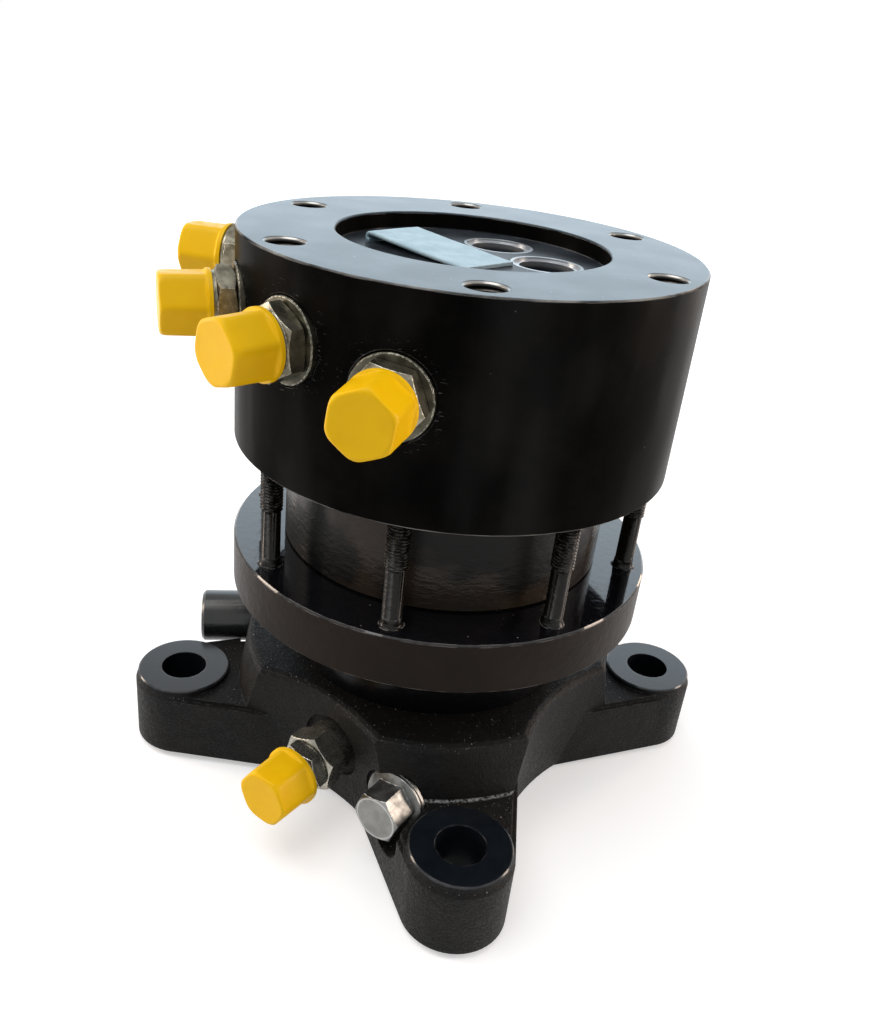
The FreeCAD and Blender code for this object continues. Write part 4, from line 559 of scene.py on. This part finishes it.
dust = dust_mask(tree, place, 1.8 * MM, 0.02)
colour = tinted(tree, colour, dust, 0.5, (0.4, 0.4, 0.4))
tree.links.new(maths(tree, "MULTIPLY", bare, 0.9), shader.inputs["Metallic"])

# The paint shines on the top and the recess floor, and a faint satin runs down the side in broad streaks.
satin_weight = 0.11
wet = maths(tree, "MULTIPLY", maths(tree, "MAXIMUM", on_top, on_floor), between(tree, mottle, 0.45, 0.80))
wet = maths(tree, "MULTIPLY", wet, between(tree, on_floor, 1.0, 0.6))
streaks = ramp(tree, grain(tree, stretched(tree, place, 0.25), 30 * MM), 0.40, 0.72)
satin = maths(tree, "MULTIPLY", streaks, between(tree, in_recess, satin_weight, 0.0))
tree.links.new(maths(tree, "MAXIMUM", wet, satin), shader.inputs["Coat Weight"])
dull = between(tree, on_top, between(tree, fine, 0.26, 0.40), between(tree, mottle, 0.28, 0.44))
surface(tree, shader, colour, between(tree, metal, dull, 0.30))
height = maths(tree, "MULTIPLY_ADD", tool_marks, 0.35, maths(tree, "MULTIPLY", fine, 0.5))
relief(tree, shader, maths(tree, "MULTIPLY_ADD", scuffs, -1.2, height), 0.05 * MM, edge=0.4 * MM)
paint_on(["distributor_head"], head_paint)


# Screw threads that show.
# The clamp bolts have them below the head, and the tapped holes in its top. One Geometry Nodes tree winds a
# right-hand ridge on a circle of places round the shaft; the steel under it is the bolt or the wall itself.
thread_ring = bpy.data.node_groups.new("thread_ring", "GeometryNodeTree")
thread_inputs = {}
for label, kind, value in (
    ("Thread Radius", "NodeSocketFloat", 0.005),
    ("Pitch", "NodeSocketFloat", 0.0015),
    ("Turns", "NodeSocketFloat", 10.0),
    ("Ridge", "NodeSocketFloat", 0.0005),
    ("Start Height", "NodeSocketFloat", 0.0),
    ("Circle Radius", "NodeSocketFloat", 0.09),
    ("Count", "NodeSocketInt", 8),
    ("First Turn", "NodeSocketFloat", 0.0),
    ("Finish", "NodeSocketMaterial", None),
):
    socket = thread_ring.interface.new_socket(label, in_out="INPUT", socket_type=kind)
    if value is not None:
        socket.default_value = value
    thread_inputs[label] = socket.identifier
thread_ring.interface.new_socket("Geometry", in_out="OUTPUT", socket_type="NodeSocketGeometry")
tree = thread_ring
given = tree.nodes.new("NodeGroupInput").outputs
made = tree.nodes.new("NodeGroupOutput").inputs
winding = put(tree, "GeometryNodeCurveSpiral", {
    "Resolution": 24, "Rotations": given["Turns"], "Start Radius": given["Thread Radius"],
    "End Radius": given["Thread Radius"], "Height": maths(tree, "MULTIPLY", given["Pitch"], given["Turns"])})
upright = put(tree, "GeometryNodeSetCurveNormal", {"Curve": winding.outputs[0]}, mode="Z_UP")
section = put(tree, "GeometryNodeCurvePrimitiveCircle", {"Resolution": 4, "Radius": given["Ridge"]})
ridge = put(tree, "GeometryNodeCurveToMesh", {
    "Curve": upright.outputs[0], "Profile Curve": section.outputs[0], "Fill Caps": True})
lifted = put(tree, "GeometryNodeTransform", {
    "Geometry": ridge.outputs[0],
    "Translation": put(tree, "ShaderNodeCombineXYZ", {2: given["Start Height"]}).outputs[0]})
circle = put(tree, "GeometryNodeMeshCircle", {"Vertices": given["Count"], "Radius": given["Circle Radius"]})
turned_circle = put(tree, "GeometryNodeTransform", {
    "Geometry": circle.outputs[0],
    "Rotation": put(tree, "ShaderNodeCombineXYZ", {2: given["First Turn"]}).outputs[0]})
copies = put(tree, "GeometryNodeInstanceOnPoints", {
    "Points": turned_circle.outputs[0], "Instance": lifted.outputs[0]})
solid = put(tree, "GeometryNodeRealizeInstances", {0: copies.outputs[0]})
finished = put(tree, "GeometryNodeSetMaterial", {"Geometry": solid.outputs[0], "Material": given["Finish"]})
tree.links.new(finished.outputs[0], made[0])


def new_piece(name, mesh, body, replaced=()):
    """A finished mesh joins the model: it rides on its body and stands for the nodes it replaces."""
    piece = bpy.data.objects.new(name, mesh)
    bpy.context.scene.collection.objects.link(piece)
    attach(piece, body)
    if replaced:
        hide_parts(*replaced)


def wound_threads(name, values):
    """Run the thread tree once with these inputs and keep its mesh."""
    carrier = bpy.data.objects.new(name, bpy.data.meshes.new(name))
    bpy.context.scene.collection.objects.link(carrier)
    modifier = carrier.modifiers.new("threads", "NODES")
    modifier.node_group = thread_ring
    for label, value in values.items():
        modifier[thread_inputs[label]] = value
    evaluated = carrier.evaluated_get(bpy.context.evaluated_depsgraph_get())
    mesh = bpy.data.meshes.new_from_object(evaluated)
    mesh.name = name
    bpy.data.objects.remove(carrier)
    return mesh


# The clamp bolts.
# Eight long socket-head screws pull the flange, the stator ring and the head together. They were painted
# over with the stack: the thread shows just under the head, and paint has gathered at their feet.
def join_loops(shape, loops):
    """Faces between each closed loop of points and the next."""
    for first, second in zip(loops, loops[1:]):
        for step in range(len(first)):
            after = (step + 1) % len(first)
            shape.faces.new((first[step], first[after], second[after], second[step]))


def finished_mesh(shape, name, material, sharp_angle):
    """The shape as a mesh in one finish, smooth up to that angle in degrees."""
    mesh = bpy.data.meshes.new(name)
    shape.to_mesh(mesh)
    shape.free()
    mesh.materials.clear()
    mesh.materials.append(material)
    for face in mesh.polygons:
        face.material_index = 0
        face.use_smooth = True
    mesh.set_sharp_from_angle(angle=math.radians(sharp_angle))
    return mesh


clamp_count = 8
clamp_circle_radius = 90 * MM
clamp_first_turn = 24.0
bolt_core_radius = 4.15 * MM
bolt_thread_radius = 4.35 * MM
bolt_thread_pitch = 1.5 * MM
bolt_thread_ridge = 0.66 * MM
bolt_thread_turns = 16.3
bolt_thread_shown = 23 * MM
bolt_paint, tree, shader, place = new_finish("bolt_paint", Specular_IOR_Level=0.22)
flow = grain(tree, place, 2.5 * MM, 3.0)
worn = wear_mask(tree, place, 0.4 * MM, 2.5 * MM)
colour = colours(tree, flow, (0.002, 0.0018, 0.0016), (0.011, 0.009, 0.007))
surface(tree, shader, tinted(tree, colour, worn, 0.5, (0.34, 0.33, 0.31)), between(tree, flow, 0.14, 0.34))
relief(tree, shader, flow, 0.12 * MM)

# The CAD shanks are drawn in to the thread's core where the thread shows.
bolt_shape = bmesh.new()
bolt_shape.from_mesh(nodes["clamp_bolts"].data)
bmesh.ops.remove_doubles(bolt_shape, verts=bolt_shape.verts, dist=1e-6)
centres = []
for step in range(clamp_count):
    angle = math.radians(clamp_first_turn + 360 / clamp_count * step)
    centres.append(Vector((clamp_circle_radius * math.cos(angle), clamp_circle_radius * math.sin(angle))))
for point in bolt_shape.verts:
    if point.co.z > head_low - bolt_thread_shown - 0.1 * MM:
        centre = min(centres, key=lambda spot: (point.co.xy - spot).length)
        arm = point.co.xy - centre
        if arm.length > bolt_core_radius:
            point.co.xy = centre + arm.normalized() * bolt_core_radius
bolt_shape.from_mesh(wound_threads("clamp_threads", {
    "Thread Radius": bolt_thread_radius, "Pitch": bolt_thread_pitch, "Turns": bolt_thread_turns,
    "Ridge": bolt_thread_ridge, "Start Height": head_low - bolt_thread_shown + 0.3 * MM,
    "Circle Radius": clamp_circle_radius, "Count": clamp_count, "First Turn": math.radians(clamp_first_turn),
    "Finish": bolt_paint}))

# A lumpy collar of paint at each bolt's foot, as radii and heights above the flange in millimetres.
collar = [(5.7, 0.0), (5.2, 0.2), (4.8, 0.7), (4.55, 1.5), (4.4, 2.6), (4.31, 4.0)]
collar_least_radius = 4.25
collar_sides = 40
lump_share = 0.10
lumps_per_metre = 700
for centre in centres:
    loops = []
    for radius, height in collar:
        loop = []
        for side in range(collar_sides):
            cosine, sine = math.cos(math.tau * side / collar_sides), math.sin(math.tau * side / collar_sides)
            lump = 1 + lump_share * noise.noise(Vector((
                centre.x * lumps_per_metre + cosine, centre.y * lumps_per_metre + sine, height)))
            spot = centre + Vector((cosine, sine)) * max(radius * lump, collar_least_radius) * MM
            loop.append(bolt_shape.verts.new((spot.x, spot.y, flange_top + height * MM)))
        loops.append(loop)
    join_loops(bolt_shape, loops)
    bolt_shape.faces.new(list(reversed(loops[0])))
    bolt_shape.faces.new(loops[-1])
bolt_mesh = finished_mesh(bolt_shape, "clamp_bolt_set", bolt_paint, 35)
new_piece("clamp_bolt_set", bolt_mesh, "turning_stack", ["clamp_bolts"])


# The threads of the tapped holes.
# The six holes in the head's top take the crane's bolts. Their threads are cut in the head's own steel and
# still hold some oil, and the ridge is wound against the wall of each hole.
tapped_thread_pitch = 2 * MM
tapped_thread_ridge = 0.80 * MM
tapped_thread_turns = 9.5
tapped_thread_depth = 21 * MM
tapped_thread, tree, shader, place = new_finish("tapped_thread", Metallic=0.8)
oil = grain(tree, place, 2 * MM)
surface(tree, shader, colours(tree, oil, (0.030, 0.027, 0.024), (0.16, 0.145, 0.13)),
        between(tree, oil, 0.25, 0.45))
tapped_mesh = wound_threads("tapped_hole_threads", {
    "Thread Radius": tapped_hole_radius, "Pitch": tapped_thread_pitch, "Turns": tapped_thread_turns,
    "Ridge": tapped_thread_ridge, "Start Height": head_top - tapped_thread_depth,
    "Circle Radius": tapped_circle_radius, "Count": tapped_hole_count,
    "First Turn": math.radians(tapped_hole_turn), "Finish": tapped_thread})
new_piece("tapped_hole_threads", tapped_mesh, "turning_stack")


# The side couplings and their washers.
# Steel unions screwed into the head on bonded washers. They are zinc plated with a slightly yellow
# passivation, brighter on the edges the spanner touched.
def outwards_at(turn):
    """The direction straight out from the shaft at that turn in degrees."""
    angle = math.radians(turn)
    return Vector((math.cos(angle), math.sin(angle), 0))


def plated_finish(name, low, high, edge, roughness, bevel, ring=None):
    """Plating over machined steel: stained on the flats, clean on the edges and on a ring if it has one."""
    material, tree, shader, place = new_finish(name, Metallic=0.92)
    stains = ramp(tree, grain(tree, place, 7 * MM, 4.0, 0.6), 0.34, 0.66)
    scratches = grain(tree, stretched(tree, place, 5.0), 1.1 * MM, 3.0)
    worn = wear_mask(tree, place, 0.5 * MM, 1.4 * MM)
    colour = colours(tree, stains, low, high)
    if ring:
        turn, end, side, height, radius = ring
        outwards = outwards_at(turn)
        middle = outwards * end + Vector((-outwards.y, outwards.x, 0)) * side + Vector((0, 0, height))
        away = distance_from(tree, place, middle)
        bevelled = near(tree, away, radius, 0.6 * MM, 0.1 * MM)
        worn = maths(tree, "MAXIMUM", worn, maths(tree, "MULTIPLY", bevelled, 0.55))
        within = ramp(tree, away, radius, radius - 0.4 * MM)
        colour = tinted(tree, colour, within, 0.6, high)
        scratches = maths(tree, "MAXIMUM", scratches, maths(tree, "MULTIPLY", within, 0.75))
    surface(tree, shader, tinted(tree, colour, worn, 0.85, edge),
            between(tree, scratches, roughness, roughness + 0.2))
    relief(tree, shader, scratches, 0.02 * MM, edge=bevel)
    return material


zinc_plate = plated_finish(
    "zinc_plate", (0.11, 0.10, 0.070), (0.30, 0.28, 0.215), (0.72, 0.70, 0.60), 0.20, 0.45 * MM)
dull_washer = plated_finish(
    "dull_washer", (0.045, 0.042, 0.030), (0.105, 0.10, 0.075), (0.66, 0.64, 0.55), 0.28, 0.4 * MM)
paint_on([f"coupling_{number}" for number in range(1, 5)], zinc_plate)
paint_on([f"coupling_washer_{number}" for number in range(1, 5)], dull_washer)


# The foot's fittings.
# A compression union in darker nickel plate with its own ferrule and nut, and next to it a zinc-plated plug
# on its washer, with a dull round end inside a thin bright bevel; a black blanked stub is round the back.
dark_nickel = plated_finish(
    "dark_nickel", (0.27, 0.26, 0.22), (0.46, 0.44, 0.38), (0.78, 0.76, 0.69), 0.16, 0.5 * MM)
paint_on(["foot_coupling", "union_nut", "foot_ferrule"], dark_nickel)

foot_port_turn = 227.6
plug_end = 97.2 * MM
plug_side = 43.0 * MM
plug_height = 31.5 * MM
plug_bevel_radius = 9.9 * MM
zinc_look = ((0.10, 0.10, 0.098), (0.28, 0.285, 0.275), (0.76, 0.77, 0.76), 0.26, 0.5 * MM)
bright_zinc = plated_finish("bright_zinc", *zinc_look)
plug_zinc = plated_finish("plug_zinc", *zinc_look,
                          ring=(foot_port_turn, plug_end, plug_side, plug_height, plug_bevel_radius))
paint_on(["port_plug"], plug_zinc)
paint_on(["plug_washer"], bright_zinc)

stub_black, tree, shader, place = new_finish("stub_black", Specular_IOR_Level=0.5)
smears = grain(tree, place, 9 * MM, 3.0)
worn = wear_mask(tree, place, 0.5 * MM, 3 * MM)
colour = colours(tree, smears, (0.007, 0.008, 0.008), (0.022, 0.023, 0.023))
surface(tree, shader, tinted(tree, colour, worn, 0.6, (0.32, 0.32, 0.31)), between(tree, smears, 0.16, 0.32))
relief(tree, shader, smears, 0.10 * MM, edge=0.6 * MM)
paint_on(["rear_port_fitting"], stub_black)


# The yellow caps.
# Moulded polyethylene push caps: a round rim, then six soft flats for the fingers that run up to a
# rounded end. They pull straight off their noses. Their sizes are in millimetres.
cap_flats = 24.4
cap_round = 13.5
cap_length = 20.8
cap_rim_radius = 14.0
cap_rim_start, cap_rim_run = 3.2, 1.3
cap_taper = 0.45
cap_shoulder = 2.6
cap_shoulder_fall = 0.15
cap_corner_softness = 0.24
cap_end_round = 1.0
cap_sides = 144
cap_plastic, tree, shader, place = new_finish("cap_plastic", Specular_IOR_Level=0.14)
scuffed = ramp(tree, grain(tree, place, 5 * MM, 4.0, 0.65), 0.45, 0.72)
cloud = grain(tree, place, 11 * MM)
fine = grain(tree, place, 0.5 * MM)
colour = colours(tree, cloud, (0.84, 0.46, 0.002), (0.92, 0.56, 0.004))
worn = wear_mask(tree, place, 0.6 * MM, 2 * MM)
surface(tree, shader, tinted(tree, colour, worn, 0.5, (0.95, 0.68, 0.05)), between(tree, scuffed, 0.34, 0.52))
relief(tree, shader, maths(tree, "MULTIPLY_ADD", fine, 0.25, cloud), 0.10 * MM)


def softly_least(first, second, softness):
    """The smaller of two radii, rounded where they cross."""
    return -softness * math.log(math.exp(-first / softness) + math.exp(-second / softness))


def cap_radius(along, angle):
    """Outside radius of a cap, at a place along it and an angle from one of its corners."""
    flat = cap_flats / 2 / math.cos((angle + math.pi / 6) % (math.pi / 3) - math.pi / 6)
    shoulder = max(0.0, along - cap_length + cap_shoulder)
    round_radius = cap_round - cap_shoulder_fall * shoulder ** 2
    body = softly_least(flat, round_radius, cap_corner_softness) + cap_taper * (1 - along / cap_length)
    flare = max(0.0, min(1.0, (cap_rim_start - along) / cap_rim_run)) ** 2
    return body + (cap_rim_radius - body) * flare


# Stations of the loft, from the hollow's floor out over the rim to the end: a place along the cap, a round
# radius or None for the outside, and an inset from the outside.
cap_stations = [
    (17.9, 5.0, 0), (17.9, 10.6, 0), (17.4, 11.3, 0), (0.4, 11.35, 0), (0.0, 11.6, 0), (0.0, cap_round, 0)]
for along in (0.15, 0.4, 0.8, 1.2, 1.5, 1.8, 2.0, 2.2, 2.4, 2.7, 3.0, 3.3, 3.8, 5, 7, 10, 13, 15.5, 17, 18,
              18.6, 19.0, 19.3, 19.6):
    cap_stations.append((along, None, 0))
for bend in (15, 30, 45, 60, 75):
    forwards, inset = cap_end_round * math.sin(math.radians(bend)), 1.0 - math.cos(math.radians(bend))
    cap_stations.append((cap_length - cap_end_round + forwards, None, cap_end_round * inset))
cap_stations += [(cap_length, None, 1.05), (cap_length, None, 1.7), (20.72, 9.5, 0), (20.62, 5.0, 0)]


def cap_mesh(name, start, twist, turn, height, side):
    """Loft the hollow, the rim, the flats and the rounded end along the line of one nose."""
    shape = bmesh.new()
    outwards = outwards_at(turn)
    across = Vector((-outwards.y, outwards.x, 0))
    foot = across * side + Vector((0, 0, height))
    loops = []
    for along, fixed, inset in cap_stations:
        loop = []
        for step in range(cap_sides):
            angle = math.tau * step / cap_sides
            radius = cap_radius(along, angle) - inset if fixed is None else fixed
            bearing = angle + math.radians(twist)
            loop.append(shape.verts.new(foot + outwards * (start + along * MM) + (
                across * math.cos(bearing) + Vector((0, 0, math.sin(bearing)))) * radius * MM))
        loops.append(loop)
    join_loops(shape, loops)
    shape.faces.new(loops[0])
    shape.faces.new(loops[-1])
    bmesh.ops.recalc_face_normals(shape, faces=shape.faces)
    return finished_mesh(shape, name, cap_plastic, 60)


head_cap_start = 110.2
for node_name, start, twist, turn, height, side in (
    ("cap_1", head_cap_start, 31.0, 160.0, 241.3, 0.0),
    ("cap_2", head_cap_start, 34.0, 190.2, 234.1, 0.0),
    ("cap_3", head_cap_start, -13.0, 218.3, 233.1, 0.0),
    ("cap_4", head_cap_start, -7.0, 245.8, 223.4, 0.0),
    ("foot_cap", 103.5, 26.0, foot_port_turn, 36.0, 0.9),
):
    mesh = cap_mesh(node_name + "_moulded", start * MM, twist, turn, height * MM, side * MM)
    new_piece(node_name + "_moulded", mesh, node_name, [node_name])


# The loose strip in the recess.
# An offcut of thin bright sheet that lies across the oil ports; its near end was bent down and its edges
# were sheared, so they are rough and brighter. Its sizes are in millimetres.
strip_turn = 308.3
rolled_turn = math.radians(-38.3)
bare_strip, tree, shader, place = new_finish("bare_strip", Metallic=0.15, Specular_IOR_Level=0.25)
smudges = ramp(tree, grain(tree, place, 9 * MM, 4.0, 0.6), 0.35, 0.68)
lengthways = put(tree, "ShaderNodeMapping", {0: place, 2: (0, 0, rolled_turn), 3: (1, 12, 1)}).outputs[0]
rolled = grain(tree, lengthways, 3 * MM, 3.0)
worn = wear_mask(tree, place, 0.4 * MM, 2 * MM)
# The sheet's blue-grey colour is a painted reflection of the sky on its bare metal.
colour = colours(tree, smudges, (0.32, 0.45, 0.51), (0.41, 0.55, 0.61))
surface(tree, shader, tinted(tree, colour, worn, 0.7, (0.86, 0.90, 0.90)), between(tree, rolled, 0.36, 0.58))
relief(tree, shader, maths(tree, "MULTIPLY_ADD", smudges, 0.5, rolled), 0.05 * MM, edge=0.35 * MM)

strip_middle = Vector((-14.9, 0.7, recess_floor / MM))
strip_along = outwards_at(strip_turn)
strip_across = Vector((-strip_along.y, strip_along.x, 0))
strip_half_width = 15.0
strip_half_thickness = 0.75
strip_least_height = 0.12
sheared_share = 0.72
edge_waviness = 0.18
face_waviness = 0.22
side_droop = 0.12
lying_height = 0.9
free_height = 1.5

# The middle of the sheet in side view: the bent end, the long fall from it and the end that lies flat.
bend_place, bend_height = -27.3, 4.1
fall_length, fall_drop, fall_steps = 53.3, 3.2, 26
strip_line = [(bend_place, 0.95), (-28.3, 0.98), (-28.95, 1.35), (-29.2, 2.0), (-29.15, 2.8), (-28.8, 3.5),
              (-28.2, 3.95), (bend_place, bend_height)]
for step in range(1, fall_steps + 1):
    strip_line.append((
        bend_place + fall_length * step / fall_steps, bend_height - fall_drop * step / fall_steps))
strip_line += [(27.5, 0.87), (29.0, 0.87), (29.9, 0.87)]


def strip_point(step, side, face):
    """Place on the strip's skin: step along its line, side -1 to 1 across it, face 1 above and -1 below."""
    x, z = strip_line[step]
    before, after = strip_line[max(step - 1, 0)], strip_line[min(step + 1, len(strip_line) - 1)]
    slope = Vector((after[0] - before[0], after[1] - before[1])).normalized()
    y = side * (strip_half_width - edge_waviness * noise.noise(Vector((x * 0.4, side * 3, 1.7))))
    free = max(0.0, min(1.0, (z - lying_height) / free_height))
    wave = face_waviness * noise.noise(Vector((x * 0.07, y * 0.09, 4.2)))
    lift = free * (wave - side_droop * abs(side) ** 3)
    edge = sheared_share if abs(side) == 1 else 1.0
    x -= slope.y * strip_half_thickness * face * edge
    z += slope.x * strip_half_thickness * face * edge + lift
    z = max(z, strip_least_height)
    return (strip_middle + strip_along * x + strip_across * y + Vector((0, 0, z))) * MM


strip_shape = bmesh.new()
sides = [-1.0, -0.985, -0.9, -0.75, -0.5, -0.25, 0.0, 0.25, 0.5, 0.75, 0.9, 0.985, 1.0]
loops = []
for step in range(len(strip_line)):
    above = [strip_shape.verts.new(strip_point(step, side, 1)) for side in sides]
    below = [strip_shape.verts.new(strip_point(step, side, -1)) for side in reversed(sides)]
    loops.append(above + below)
join_loops(strip_shape, loops)
around = len(loops[0])
for loop in (loops[0], loops[-1]):
    for step in range(len(sides) - 1):
        strip_shape.faces.new((loop[step], loop[step + 1], loop[around - 2 - step], loop[around - 1 - step]))
bmesh.ops.recalc_face_normals(strip_shape, faces=strip_shape.faces)
strip_mesh = finished_mesh(strip_shape, "bent_strip", bare_strip, 50)
new_piece("bent_strip", strip_mesh, "turning_stack", ["recess_strip"])
